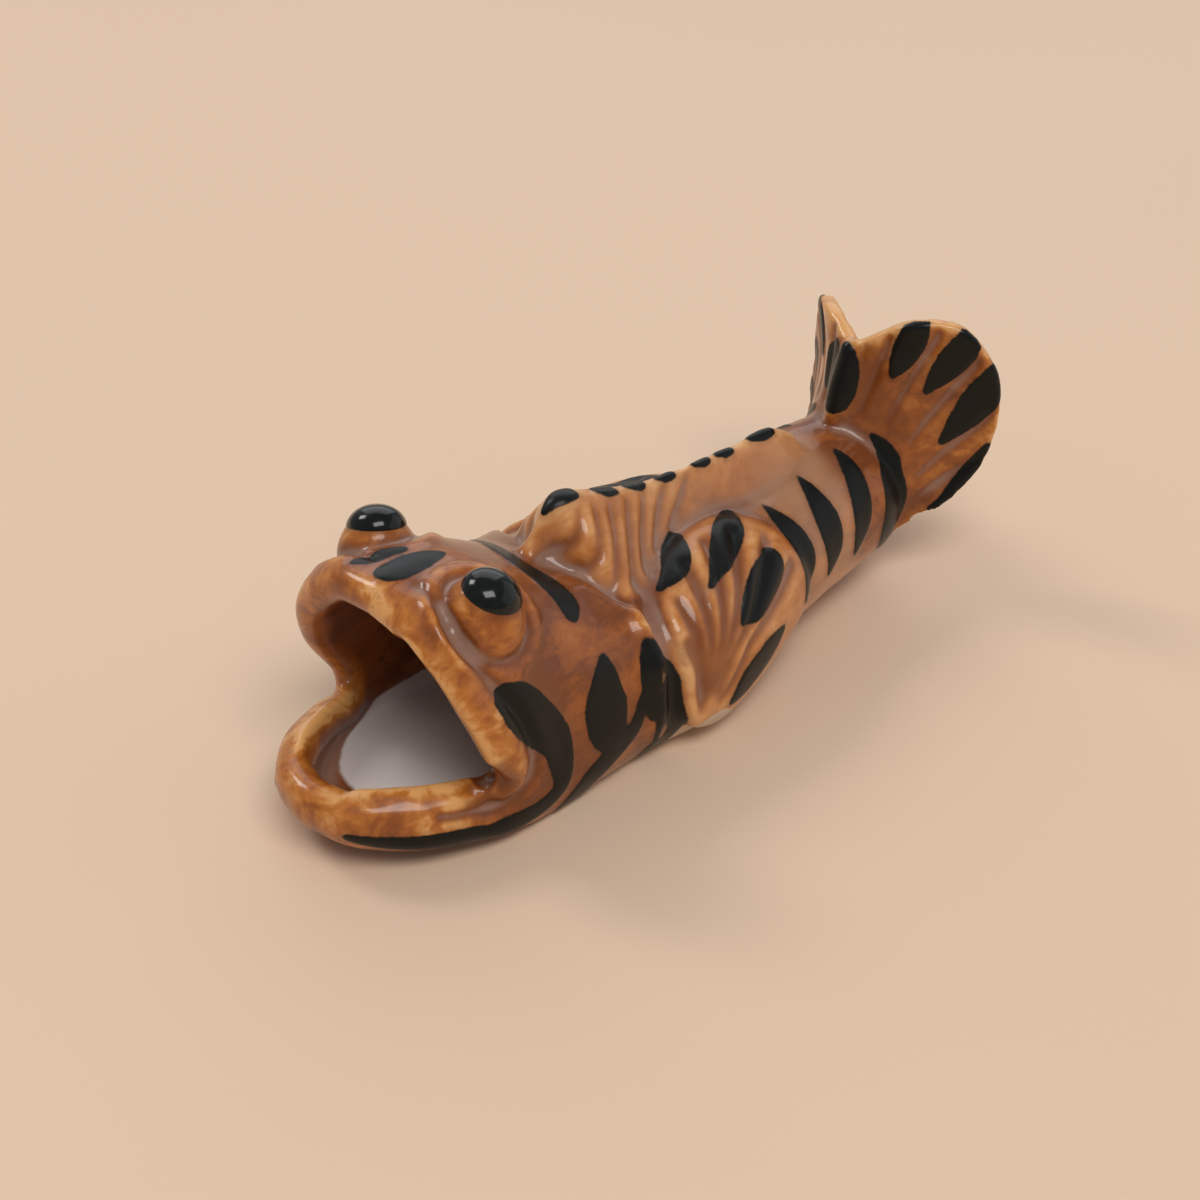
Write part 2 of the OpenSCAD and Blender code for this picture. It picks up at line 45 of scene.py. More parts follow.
# Sizes of the fish, as in its solids
BODY_L = 78.5
HEAD_H = 27.0
BODY_W = 26.0
WALL_T = 2.6
MOUTH_W = 23.0
GAPE_H = 18.5
JAW_L = 0.166 * BODY_L
LOWER_LIP_H = 6.3
LIP_T = 3.9
POCKET_L = 38.0
FOOT_L = 44.0
FOOT_W = 22.0
FOOT_H = 0.5
FOOT_SETBACK = 7.7
EYE_D = 7.8
EYE_RISE = 1.18
EYE_SINK = 0.5
EYE_LOWER = 0.6
PUPIL_D = 5.8
PUPIL_T = 0.5
DORSAL_H = 7.0
DORSAL_START = 0.365
DORSAL_L = 0.484 * BODY_L
RIDGE_ROUND = 0.035
SIDE_POWER = 1.05
PECTORAL_L = 22.5
PECTORAL_T = 1.5
PECTORAL_START = 0.462
PECTORAL_TURN = 6.0
GILL_W = 5.5
GILL_T = 1.1
TAIL_H = 31.0
TAIL_W = 27.0
TAIL_L = 17.0
TAIL_T = 2.4
TAIL_LEAN = 3.6

CORNER_X = JAW_L + LIP_T / 2
MIDDLE_X = FOOT_SETBACK + FOOT_L / 2
NECK = 0.29

# Fineness of the clay's mesh, how often its joins are smoothed with a wet brush, how often the
# clay is evened to read its narrow and its broad crests, and how far a piece is pushed into the
# body before that
GRAIN = 0.27
BRUSHED = 22
NARROW, BROAD = ((60, 220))
PUSHED_IN = 0.9

# Points round the body, and rows of them along its outside, its lip and the inside of its head
BODY_TURN = 144
TRUNK_ROWS = 80
HEAD_ROWS = 35
LIP_ROWS = 14
INNER_ROWS = 30

# Body sections: place, back, belly, half width, widest height, upper and lower fullness
TRUNK = np.array([
    [0.29, 0.905, -0.180, 1.00, 0.380, 2.15, 3.2],
    [0.36, 0.790, -0.120, 1.02, 0.380, 2.10, 3.1],
    [0.44, 0.700, -0.080, 1.03, 0.370, 2.05, 3.2],
    [0.54, 0.675, -0.080, 1.04, 0.360, 2.00, 3.5],
    [0.64, 0.655, -0.050, 0.96, 0.350, 2.00, 2.6],
    [0.75, 0.640, 0.000, 0.80, 0.340, 2.00, 2.2],
    [0.86, 0.665, 0.020, 0.68, 0.340, 2.00, 2.1],
    [0.92, 0.668, 0.035, 0.64, 0.345, 2.00, 2.0],
    [0.96, 0.640, 0.060, 0.59, 0.345, 2.00, 2.0],
    [1.00, 0.560, 0.120, 0.44, 0.335, 2.00, 2.0]])

# Lip by angle from the top: forward, sideways, up, wall direction, wall length, thickness
LIP = np.array([
    [0, -0.27, 0.00, 1.00, 1.00, 0.00, 0.05, 0.90, 1.00],
    [25, -0.28, 0.48, 0.94, 1.00, 0.05, 0.05, 0.90, 1.00],
    [50, -0.26, 0.88, 0.70, 1.00, 0.10, 0.00, 0.90, 1.00],
    [72, -0.15, 1.06, 0.38, 1.00, 0.10, 0.00, 0.90, 0.95],
    [90, 0.05, 1.00, 0.10, 1.00, 0.25, -0.10, 0.90, 0.85],
    [102, -0.05, 0.88, -0.03, 0.60, 0.60, -0.80, 0.95, 0.85],
    [118, -0.33, 0.80, -0.03, 0.20, 0.55, -1.00, 1.00, 0.95],
    [138, -0.66, 0.62, -0.01, 0.00, 0.25, -1.00, 1.00, 1.00],
    [160, -0.92, 0.33, 0.00, -0.05, 0.10, -1.00, 1.00, 1.00],
    [180, -1.00, 0.00, 0.00, -0.05, 0.00, -1.00, 1.00, 1.00]])

# Edge of the foot: place along it and half width, as shares
FOOT_EDGE = np.array([
    [0, 0], [0.03, 0.22], [0.09, 0.44], [0.16, 0.62], [0.23, 0.83], [0.31, 0.93], [0.42, 0.96],
    [0.55, 0.96], [0.69, 0.98], [0.80, 0.97], [0.88, 0.85], [0.945, 0.62], [0.985, 0.35], [1, 0]])

# Where the eyes sit on the skin, and the coil of clay round each: how far out from the ball its
# middle lies, its half width and half height, how deep it sits and how far it follows the head
EYE_ALONG = 0.53
EYE_ANGLE = 34.0
COIL_OUT = 1.35
COIL_HALF_W = 0.95
COIL_HALF_H = 0.55
COIL_SINK = 0.25
COIL_DROP = 0.034
COIL_LOWER = 0.4
PUPIL_UNDER = 0.25

# Back fin: place along it, height as a share, and angle of its edges from the ridge
DORSAL = np.array([
    [0, 0.06, 6], [0.06, 0.62, 9], [0.11, 0.93, 26], [0.16, 1.00, 36], [0.24, 0.88, 33],
    [0.35, 0.72, 22], [0.46, 0.63, 15], [0.60, 0.60, 13], [0.74, 0.60, 17], [0.90, 0.56, 18],
    [1, 0.20, 14]])

# Outline and root of the fan: place along it as a share, and angle round the body
FAN_EDGE = np.array([
    [0.06, 110], [0.00, 88], [0.02, 58], [0.17, 34], [0.40, 21], [0.64, 19], [0.83, 32],
    [0.93, 58], [0.98, 88], [0.94, 106], [0.78, 118], [0.55, 123], [0.33, 124], [0.16, 119]])
FAN_ROOT = (0.12, 108)

# Crest of the gill cover: angle round the body and place along it
GILL = np.array([
    [12, 0.392], [30, 0.416], [48, 0.436], [66, 0.442], [86, 0.440], [102, 0.444], [118, 0.446]])

# Root and edge of a tail lobe by place from the ridge downwards: the root's place along the body
# and angle round it, and the edge's reach backwards, sideways and up as shares. At the ridge the
# lobes lap over the middle, and the lean grows from there
TAIL_LAP = 0.15
TAIL_ROOT = np.array([
    [0, 0.913, 1], [0.18, 0.932, 22], [0.38, 0.948, 46], [0.58, 0.954, 74], [0.78, 0.952, 104],
    [1, 0.946, 134]])
TAIL_EDGE = np.array([
    [0, 0.18, 0.00, 0.860], [0.2, 0.34, 0.45, 0.941], [0.38, 0.55, 0.77, 0.910],
    [0.55, 0.70, 0.96, 0.750], [0.7, 0.73, 1.00, 0.570], [0.83, 0.65, 0.94, 0.400],
    [0.93, 0.48, 0.82, 0.270], [1, 0.28, 0.68, 0.190]])


# Small helpers on arrays of points
def unit(v):
    return v / np.maximum(np.linalg.norm(v, axis=-1, keepdims=True), 1e-9)


def mix(a, b, t):
    return a + (b - a) * t


def ease(t):
    t = np.clip(t, 0, 1)
    return t * t * (3 - 2 * t)


def bend(v, power):
    return np.sign(v) * np.abs(v) ** power


def sin_deg(a):
    return np.sin(np.radians(a))


def cos_deg(a):
    return np.cos(np.radians(a))


def flowing(start, end, leave, arrive, t):
    """Curve from start to end, with the ways in which it leaves and arrives."""
    return (start * (1 + 2 * t) * (1 - t) ** 2 + end * t * t * (3 - 2 * t)
            + leave * t * (1 - t) ** 2 - arrive * t * t * (1 - t))


def between(a, b, c, d, f):
    """Smooth way from b to c, with a before them and d after them."""
    return 0.5 * (2 * b + (c - a) * f + (2 * a - 5 * b + 4 * c - d) * f ** 2
                  + (3 * b - a - 3 * c + d) * f ** 3)


def read(rows, s):
    """Smooth reading of rows of values at places s, their first column being the place."""
    s = np.asarray(s, float)
    x = rows[:, 0]
    last = len(x) - 1
    i = np.clip(np.searchsorted(x, s, side="right") - 1, 0, last - 1)
    before = np.maximum(np.arange(last + 1) - 1, 0)
    after = np.minimum(np.arange(last + 1) + 1, last)
    slope = (rows[after] - rows[before]) / (rows[after] - rows[before])[:, :1]
    d = (x[i + 1] - x[i])[..., None]
    t = (s[..., None] - x[i][..., None]) / d
    return flowing(rows[i], rows[i + 1], slope[i] * d, slope[i + 1] * d, t)


def curve(points, t):
    """Smooth curve through rows of values, t counting the rows; open at its ends."""
    p = np.asarray(points, float)
    t = np.clip(np.asarray(t, float), 0, len(p) - 1)
    i = np.minimum(t.astype(int), len(p) - 2)
    return between(p[np.maximum(i - 1, 0)], p[i], p[i + 1], p[np.minimum(i + 2, len(p) - 1)],
                   (t - i)[..., None])


def ring(points, t):
    """Smooth closed outline through rows of values."""
    p = np.asarray(points, float)
    n = len(p)
    i = np.floor(t).astype(int)
    return between(p[(i - 1) % n], p[i % n], p[(i + 1) % n], p[(i + 2) % n], (t - i)[..., None])


# The fish's skin, by place along it and angle round it; angles from 0 to 180 are its left side
def on_foot(p, inset=0.0):
    """The same places, none of them lower than the top of the foot."""
    p = p.copy()
    p[..., 2] = np.maximum(p[..., 2], FOOT_H + inset)
    return p


def trunk_point(s, a, inset=0.0):
    """The skin behind the neck, or this far under it: place along the body and angle."""
    s, a = np.broadcast_arrays(np.asarray(s, float), np.asarray(a, float))
    r = read(TRUNK, s)
    up = cos_deg(a) > 0
    power = 2 / np.where(up, r[..., 5], r[..., 6])
    widest = r[..., 4] * HEAD_H
    rise = np.where(up, r[..., 1] * HEAD_H - inset - widest, widest - r[..., 2] * HEAD_H - inset)
    half = r[..., 3] * BODY_W / 2 - inset
    return on_foot(np.stack([s * BODY_L - MIDDLE_X, -half * bend(sin_deg(a), power),
                             widest + rise * bend(cos_deg(a), power)], -1), inset)


def lip_middle(a):
    """Middle of the lip at an angle, and the way, length and half thickness of its wall."""
    a = np.asarray(a, float) % 360
    side = np.where(a > 180, 1.0, -1.0)
    r = read(LIP, np.where(a > 180, 360 - a, a))
    middle = np.stack([CORNER_X - MIDDLE_X + r[..., 1] * JAW_L, side * r[..., 2] * MOUTH_W / 2,
                       LOWER_LIP_H + r[..., 3] * GAPE_H], -1)
    wall = unit(np.stack([r[..., 4], side * r[..., 5], r[..., 6]], -1))
    return middle, wall, r[..., 7:8], r[..., 8:9] * LIP_T / 2


def lip_point(a, turn):
    """The rolled lip: turn runs from 0 on its outside to 180 on its inside."""
    a = np.asarray(a, float)
    middle, wall, _, radius = lip_middle(a)
    out = unit(np.cross(lip_middle(a + 2)[0] - lip_middle(a - 2)[0], wall))
    return middle + radius * (cos_deg(turn) * out - sin_deg(turn) * wall)


def head_point(u, a, inner=False):
    """The head's wall, outside or inside: u runs from 0 at the lip to 1 at the neck."""
    u, a = np.broadcast_arrays(np.asarray(u, float), np.asarray(a, float))
    inset = WALL_T if inner else 0.0
    _, wall, length, _ = lip_middle(a)
    start = lip_point(a, 180 if inner else 0)
    end = trunk_point(NECK, a, inset)
    step = 0.004
    run = (trunk_point(NECK + step, a, inset) - end) / (step * BODY_L)
    reach = np.linalg.norm(end - start, axis=-1, keepdims=True)
    return on_foot(flowing(start, end, wall * length * reach, run * reach, u[..., None]), inset)


def skin(u, a):
    """Outside of the body: u runs from 0 to 1 over the head and from 1 to 2 over the trunk."""
    u, a = np.broadcast_arrays(np.asarray(u, float), np.asarray(a, float))
    head = head_point(np.clip(u, 0, 1), a)
    trunk = trunk_point(mix(NECK, 1, np.clip(u, 1, 2) - 1), a)
    return np.where((u < 1)[..., None], head, trunk)


def trunk_u(s):
    """The skin's u at a place along the trunk, as a share of the body's length."""
    return 1 + (s - NECK) / (1 - NECK)


def skin_normal(u, a):
    """The way out of the skin."""
    along = skin(np.minimum(u + 0.01, 2), a) - skin(np.maximum(u - 0.01, 0), a)
    return unit(np.cross(skin(u, a + 1.5) - skin(u, a - 1.5), along))


def over_skin(u, a, h):
    """Places this high over the skin."""
    u, a = np.broadcast_arrays(np.asarray(u, float), np.asarray(a, float))
    return skin(u, a) + skin_normal(u, a) * np.broadcast_to(h, u.shape)[..., None]


# Closed forms from rings or sheets of points
def sheet_faces(rows, cols, closed, first=0):
    """Faces of a sheet of points, which may close round its columns."""
    i, j = np.meshgrid(np.arange(rows - 1), np.arange(cols if closed else cols - 1), indexing="ij")
    a = i * cols + j
    b = i * cols + (j + 1) % cols
    return first + np.stack([a, b, b + cols, a + cols], -1).reshape(-1, 4)


def lofted(first, rings, last):
    """Form through closed rings, each end drawn to a point."""
    n, k = rings.shape[1], rings.shape[0]
    points = np.concatenate([[first], rings.reshape(-1, 3), [last]])
    j = np.arange(n)
    faces = [list(f) for f in sheet_faces(k, n, True, 1)]
    faces += [[0, 1 + (q + 1) % n, 1 + q] for q in j]
    faces += [[k * n + 1, 1 + (k - 1) * n + q, 1 + (k - 1) * n + (q + 1) % n] for q in j]
    return points, faces


def slab(top, bed):
    """Form between two sheets of points, the first one outside."""
    rows, cols = top.shape[:2]
    n = rows * cols
    points = np.concatenate([top.reshape(-1, 3), bed.reshape(-1, 3)])
    faces = [list(f) for f in sheet_faces(rows, cols, False)]
    faces += [list(f[::-1]) for f in sheet_faces(rows, cols, False, n)]
    grid = np.arange(n).reshape(rows, cols)
    edge = np.concatenate([grid[0, :-1], grid[:-1, -1], grid[-1, :0:-1], grid[:0:-1, 0]])
    for a, b in zip(edge, np.roll(edge, -1)):
        faces.append([a, n + a, n + b, b])
    return points, faces


def mirrored(form):
    points, faces = form
    return points * (1, -1, 1), [f[::-1] for f in faces]


# The clay pieces, before they are joined
def body_form():
    """The hollow body as one skin: outside, over the lip, and back inside as the pocket."""
    a = np.arange(BODY_TURN) * (360 / BODY_TURN)
    trunk = [trunk_point(s, a) for s in np.linspace(1, NECK, TRUNK_ROWS)]
    head = [head_point(u, a) for u in np.linspace(1, 0, HEAD_ROWS + 1)[1:]]
    lip = [lip_point(a, t) for t in np.linspace(0, 180, LIP_ROWS + 2)[1:-1]]
    inner = [head_point(u, a, True) for u in np.linspace(0, 1, INNER_ROWS)]
    end_s = (CORNER_X + POCKET_L) / BODY_L
    rounded = 0.12
    pocket = []
    for s in mix(NECK, end_s, sin_deg(np.linspace(0, 88, 40)[1:])):
        k = np.sqrt(max(0, 1 - max(0, (s - end_s + rounded) / rounded) ** 2))
        middle = (trunk_point(s, 0, WALL_T) + trunk_point(s, 180, WALL_T)) / 2
        pocket.append(middle + (trunk_point(s, a, WALL_T) - middle) * k)
    bulge = 0.05 * BODY_W
    stalk_end = (trunk_point(1, 0) + trunk_point(1, 180)) / 2 + (bulge, 0, 0)
    pocket_end = (trunk_point(end_s, 0, WALL_T) + trunk_point(end_s, 180, WALL_T)) / 2
    return lofted(stalk_end, np.stack(trunk + head + lip + inner + pocket), pocket_end)


def ridge_height(t):
    """Height of the back fin across it, as a share: t is 0 on the ridge and 1 at its edges."""
    rounded = (1 - np.sqrt(t * t + RIDGE_ROUND)) / (1 - np.sqrt(RIDGE_ROUND))
    return np.maximum(0, rounded) ** SIDE_POWER


def dorsal_form():
    """The fin along the back: k runs along it, and t from its left edge to its right one."""
    k = np.linspace(0, 1, 100)[:, None]
    t = np.linspace(1, -1, 61)[None, :]
    r = read(DORSAL, k)
    u = trunk_u(DORSAL_START + DORSAL_L / BODY_L * k) + 0 * t
    a = r[..., 2] * t
    ridge = ridge_height(t)
    top = over_skin(u, a, 0.1) + np.stack([0 * u, 0 * u, DORSAL_H * r[..., 1] * ridge], -1)
    return slab(top, over_skin(u, a, -PUSHED_IN))


def fan_form(turn):
    """The fan on the flank, turned this many degrees round the body."""
    j = np.linspace(0, 1, 121)[:-1]
    edge = ring(FAN_EDGE[::-1], j * len(FAN_EDGE))
    outer = sin_deg(np.linspace(0, 90, 30)[1:])
    k = np.concatenate([outer, np.linspace(1, 0, 12)[:-1]])
    place = mix(FAN_ROOT[0], edge[None, :, 0], k[:, None])
    a = mix(FAN_ROOT[1], edge[None, :, 1], k[:, None]) + turn
    top = np.arange(len(k)) < len(outer)
    h = np.where(top, PECTORAL_T * np.sqrt(np.maximum(0, 1 - k ** 5)) * (1 - 0.2 * k), -PUSHED_IN)
    u = trunk_u(PECTORAL_START + place * PECTORAL_L / BODY_L)
    rings = over_skin(u, a, h[:, None] + 0 * a)
    root_u = trunk_u(PECTORAL_START + FAN_ROOT[0] * PECTORAL_L / BODY_L)
    ends = [over_skin(root_u, FAN_ROOT[1] + turn, q) for q in (PECTORAL_T, -PUSHED_IN)]
    return lofted(ends[0], rings, ends[1])


def gill_form():
    """The raised edge behind the cheek, which tapers to both ends."""
    a = np.linspace(GILL[0, 0], GILL[-1, 0], 80)[:, None]
    k = np.linspace(0, 1, 24)[None, :]
    taper = sin_deg(11 + 158 * np.linspace(0, 1, 80))[:, None]
    s = read(GILL, a)[..., 1] - GILL_W / BODY_L * taper * (1 - k)
    h = GILL_T * k ** 1.5 * taper
    return slab(over_skin(trunk_u(s), a + 0 * k, h), over_skin(trunk_u(s), a + 0 * k, -PUSHED_IN))


def tail_sheet(lean, back, q, p):
    """Points of a tail lobe: q runs from the ridge downwards, p from the root outwards."""
    r, e = read(TAIL_ROOT, q), read(TAIL_EDGE, q)
    root = over_skin(trunk_u(r[..., 1] + back * TAIL_T / BODY_L), r[..., 2], -PUSHED_IN)
    root_x = TAIL_ROOT[0, 1] * BODY_L - MIDDLE_X
    edge = np.stack([root_x + e[..., 1] * TAIL_L, -e[..., 2] * TAIL_W / 2 + TAIL_LAP,
                     e[..., 3] * TAIL_H + lean * sin_deg(90 * np.minimum(1, q / 0.4))], -1)
    turn = 45 * np.minimum(1, q / 0.2)
    through = np.stack([cos_deg(turn), sin_deg(turn), 0 * turn], -1)
    thin = 1 - 0.3 * p ** 3
    base = mix(root, edge + back * TAIL_T * thin[..., None] * through, p[..., None])
    hollow = sin_deg(180 * p) * 0.5 * TAIL_T * sin_deg(180 * q)
    return base + hollow[..., None] * through


def tail_form(lean):
    q, p = np.meshgrid(np.linspace(0, 1, 70), np.linspace(0, 1, 44), indexing="ij")
    return slab(tail_sheet(lean, 0, q, p), tail_sheet(lean, 1, q, p))


# The eyes
EYE_FOOT = skin(EYE_ALONG, EYE_ANGLE)
EYE_UP = skin_normal(EYE_ALONG, EYE_ANGLE)
EYE_BACK = unit(skin(EYE_ALONG + 0.01, EYE_ANGLE) - EYE_FOOT)
PUPIL_WAY = unit(np.array((0.2, -0.24, 0.95)))


def cone_way(axis, along, polar, turn):
    """Directions at an angle from an axis, turned round it."""
    across = np.cross(axis, along)
    turn, polar = turn[..., None], polar[..., None]
    return axis * cos_deg(polar) + sin_deg(polar) * (along * cos_deg(turn) + across * sin_deg(turn))


def ball_place(way, grow, sink):
    """Places on the ball of the eye, or this far out from it."""
    d = way * (EYE_D / 2 + np.asarray(grow)[..., None])
    return EYE_FOOT - EYE_UP * sink + d * (1, 1, EYE_RISE)


def ball_rings(axis, along, polars, grows, sink):
    turn, polar = np.meshgrid(np.arange(0, 360, 4.0), polars)
    grow = np.asarray(grows, float)[:, None] + 0 * turn
    return ball_place(cone_way(axis, along, polar, turn), grow, sink)


def eyeball_form(sink):
    polars = np.linspace(0, 150, 44)[1:]
    rings = ball_rings(EYE_UP, EYE_BACK, polars, 0 * polars, sink)
    return lofted(ball_place(EYE_UP, 0, sink), rings, rings[-1].mean(0))


def socket_form(sink):
    """Low coil of clay round the ball, worked into the skin by the brush."""
    turn = np.arange(0, 360, 4.0)
    across = np.cross(EYE_UP, EYE_BACK)
    way = EYE_BACK * cos_deg(turn)[:, None] + across * sin_deg(turn)[:, None]
    half = EYE_D / 2 * np.linalg.norm(way * (1, 1, EYE_RISE), axis=-1)
    rings = []
    for t in np.arange(0, 360, 20.0):
        r = half + COIL_OUT + COIL_HALF_W * cos_deg(t)
        flat = EYE_FOOT + way * r[:, None]
        drop = (r ** 2) * COIL_DROP * sin_deg(turn) ** 2
        up = COIL_HALF_H * sin_deg(t) - COIL_SINK - sink - drop
        rings.append(flat + EYE_UP * up[:, None])
    k, n = len(rings), len(turn)
    return np.concatenate(rings), (sheet_faces(k + 1, n, True) % (k * n)).tolist()


def pupil_form(sink):
    """Thick drop of dark glaze on top of the ball."""
    along = unit(np.cross((0, 1, 0), PUPIL_WAY))
    edge = np.degrees(np.arcsin(PUPIL_D / EYE_D))
    outer = np.linspace(0, 1, 28)[1:]
    k = np.concatenate([outer, np.linspace(1, 0, 8)[1:-1]])
    grow = np.where(np.arange(len(k)) < len(outer), PUPIL_T * (1 - k ** 4) + 0.02, -PUPIL_UNDER)
    rings = ball_rings(PUPIL_WAY, along, edge * k, grow, sink)
    ends = [ball_place(PUPIL_WAY, q, sink) for q in (PUPIL_T, -PUPIL_UNDER)]
    return lofted(ends[0], rings, ends[1])


def foot_form():
    """The bare pad under the belly, its edge rounded below and its top sunk in the body."""
    edge = curve(FOOT_EDGE, np.linspace(0, len(FOOT_EDGE) - 1, 90))
    half = np.stack([(edge[:, 0] - 0.5) * FOOT_L, -np.maximum(edge[:, 1], 0) * FOOT_W / 2], -1)
    outline = np.concatenate([half, half[-2:0:-1] * (1, -1)])
    rings = []
    top = FOOT_H + 0.3
    for inset, z in ((1.0, 0.0), (0.35, 0.0), (0.1, 0.06), (0.0, 0.2), (0.0, top)):
        shrink = 1 - inset / np.linalg.norm(outline, axis=1).mean()
        rings.append(np.column_stack([outline * shrink, np.full(len(outline), z)]))
    return lofted((0, 0, 0), np.stack(rings), (0, 0, top))


# Meshes from forms, and back to arrays: points in mm, faces of four corners, normals
def mesh_of(name, form):
    points, faces = form
    mesh = bpy.data.meshes.new(name)
    mesh.from_pydata((np.asarray(points) * MM).tolist(), [], [[int(v) for v in f] for f in faces])
    work = bmesh.new()
    work.from_mesh(mesh)
    bmesh.ops.recalc_face_normals(work, faces=work.faces)
    work.to_mesh(mesh)
    work.free()
    return mesh


def show(name, mesh):
    piece = bpy.data.objects.new(name, mesh)
    bpy.context.scene.collection.objects.link(piece)
    return piece


def numbers_of(items, key, width, kind):
    """What a mesh keeps for its points, edges or corners, in rows this wide."""
    found = np.empty(len(items) * width, kind)
    items.foreach_get(key, found)
    return found.reshape(-1, width)


def points_of(mesh):
    return numbers_of(mesh.vertices, "co", 3, np.float32).astype(float) / MM


def worked(mesh, *steps):
    """The mesh after modifiers, each given as its kind and settings."""
    piece = show("work", mesh)
    for kind, settings in steps:
        modifier = piece.modifiers.new(kind, kind)
        for key, value in settings.items():
            setattr(modifier, key, value)
    graph = bpy.context.evaluated_depsgraph_get()
    result = bpy.data.meshes.new_from_object(piece.evaluated_get(graph))
    bpy.data.objects.remove(piece)
    return result


def facing(points, faces):
    """Normal of each point, from the faces round it."""
    across = np.cross(points[faces[:, 2]] - points[faces[:, 0]],
                      points[faces[:, 3]] - points[faces[:, 1]])
    return unit(np.stack([sum(np.bincount(faces[:, c], across[:, i], len(points))
                              for c in range(4)) for i in range(3)], -1))


def joined(pairs, count):
    """For each item, the lowest number among all that the pairs join it to."""
    group = np.arange(count)
    while True:
        before = group.copy()
        lowest = np.minimum(group[pairs[:, 0]], group[pairs[:, 1]])
        np.minimum.at(group, pairs[:, 0], lowest)
        np.minimum.at(group, pairs[:, 1], lowest)
        group = group[group]
        if (group == before).all():
            return group


def evened(values, edges, times):
    """Values at the points, evened out with their neighbours."""
    count = np.bincount(edges.ravel(), minlength=len(values))
    values = values.reshape(len(values), -1)
    for _ in range(times):
        total = np.stack([np.bincount(edges[:, 0], v[edges[:, 1]], len(v))
                          + np.bincount(edges[:, 1], v[edges[:, 0]], len(v))
                          for v in values.T], -1)
        values = (values + total) / (1 + count[:, None])
    return values.squeeze()


# Join the pieces, as a potter does with slip and a wet brush
LEFT_SINK, RIGHT_SINK = EYE_SINK, EYE_SINK + EYE_LOWER
clay = {
    "body_shell": body_form(),
    "dorsal_fin": dorsal_form(),
    "left_pectoral_fin": fan_form(-PECTORAL_TURN / 2),
    "right_pectoral_fin": mirrored(fan_form(PECTORAL_TURN / 2)),
    "left_gill_cover": gill_form(),
    "right_gill_cover": mirrored(gill_form()),
    "left_tail_lobe": tail_form(TAIL_LEAN / 2),
    "right_tail_lobe": mirrored(tail_form(-TAIL_LEAN / 2)),
    "left_eyeball": eyeball_form(LEFT_SINK),
    "right_eyeball": mirrored(eyeball_form(RIGHT_SINK)),
    "left_eye_rim": socket_form(0.0),
    "right_eye_rim": mirrored(socket_form(COIL_LOWER)),
}
pieces = list(clay)
BODY = pieces.index("body_shell")
TAILS = [n for n, name in enumerate(pieces) if "tail" in name]

owner, first = [], 0
loose_points, loose_faces = [], []
for number, form in enumerate(clay.values()):
    mesh = mesh_of("piece", form)
    loose_points.append(points_of(mesh))
    loose_faces += [[first + v for v in f.vertices] for f in mesh.polygons]
    owner += [number] * len(mesh.polygons)
    first += len(mesh.vertices)
    bpy.data.meshes.remove(mesh)
loose_points = np.concatenate(loose_points)
owner = np.array(owner)
loose = BVHTree.FromPolygons(loose_points.tolist(), loose_faces)
body_only = BVHTree.FromPolygons(loose_points.tolist(), loose_faces[:int((owner == BODY).sum())])

lump = bpy.data.meshes.new("lump")
lump.from_pydata((loose_points * MM).tolist(), [], loose_faces)
lump = worked(lump, ("REMESH", {"mode": "VOXEL", "voxel_size": GRAIN * MM}),
              ("SMOOTH", {"factor": 0.5, "iterations": BRUSHED}))
points = points_of(lump)
faces = numbers_of(lump.loops, "vertex_index", 1, np.int32).reshape(-1, 4)
edges = numbers_of(lump.edges, "vertices", 2, np.int32)

# Bubbles shut in between the pieces are left out: only the largest connected skin is kept
skin_of = joined(edges, len(points))
kept = skin_of == np.bincount(skin_of).argmax()
renumbered = np.cumsum(kept) - 1
points = points[kept]
faces = renumbered[faces[kept[faces[:, 0]]]]
edges = renumbered[edges[kept[edges[:, 0]]]]
normals = facing(points, faces)

# Which piece each face belongs to, from the nearest face of the loose pieces
middles = points[faces].mean(1)
nearest = np.array([loose.find_nearest(Vector(m))[2] for m in middles])
label = owner[nearest]


def tidied(label):
    """Labels evened along their borders, with narrow necks and stray patches given back."""
    for _ in range(4):
        votes = np.stack([np.bincount(faces.ravel(), np.repeat(label == n, 4), len(points))
                          for n in range(len(pieces))], -1)
        label = votes[faces].sum(1).argmax(1)
    while True:
        narrow = np.zeros(len(label), bool)
        for n in range(1, len(pieces)):
            strange = np.zeros(len(points), bool)
            strange[faces[label != n].ravel()] = True
            narrow |= (label == n) & strange[faces].all(1)
        if not narrow.any():
            break
        label = np.where(narrow, BODY, label)
    face_of, beside = {}, []
    for n, f in enumerate(faces.tolist()):
        for a, b in zip(f, f[1:] + f[:1]):
            other = face_of.pop((b, a), None)
            if other is None:
                face_of[(a, b)] = n
            elif label[other] == label[n]:
                beside.append((n, other))
    patch = joined(np.array(beside), len(label))
    sizes = np.bincount(patch)
    for n in range(1, len(pieces)):
        own = np.unique(patch[label == n])
        keep = own[sizes[own].argmax()]
        label = np.where((label == n) & (patch != keep), BODY, label)
    return label


label = tidied(label)

# How far inside the mouth each point lies: 0 outside, 1 at the neck, more in the pocket
OUTER_ROWS = TRUNK_ROWS + HEAD_ROWS + LIP_ROWS
row = np.where(owner[nearest] == BODY, nearest // BODY_TURN, 0)
inside_rows = np.where(row >= OUTER_ROWS, (row - OUTER_ROWS + 1) / INNER_ROWS, 0)
within = np.zeros(len(points))
np.maximum.at(within, faces.ravel(), np.repeat(inside_rows, 4))
within = evened(within, edges, 12)

surface = BVHTree.FromPolygons(points.tolist(), faces.tolist())


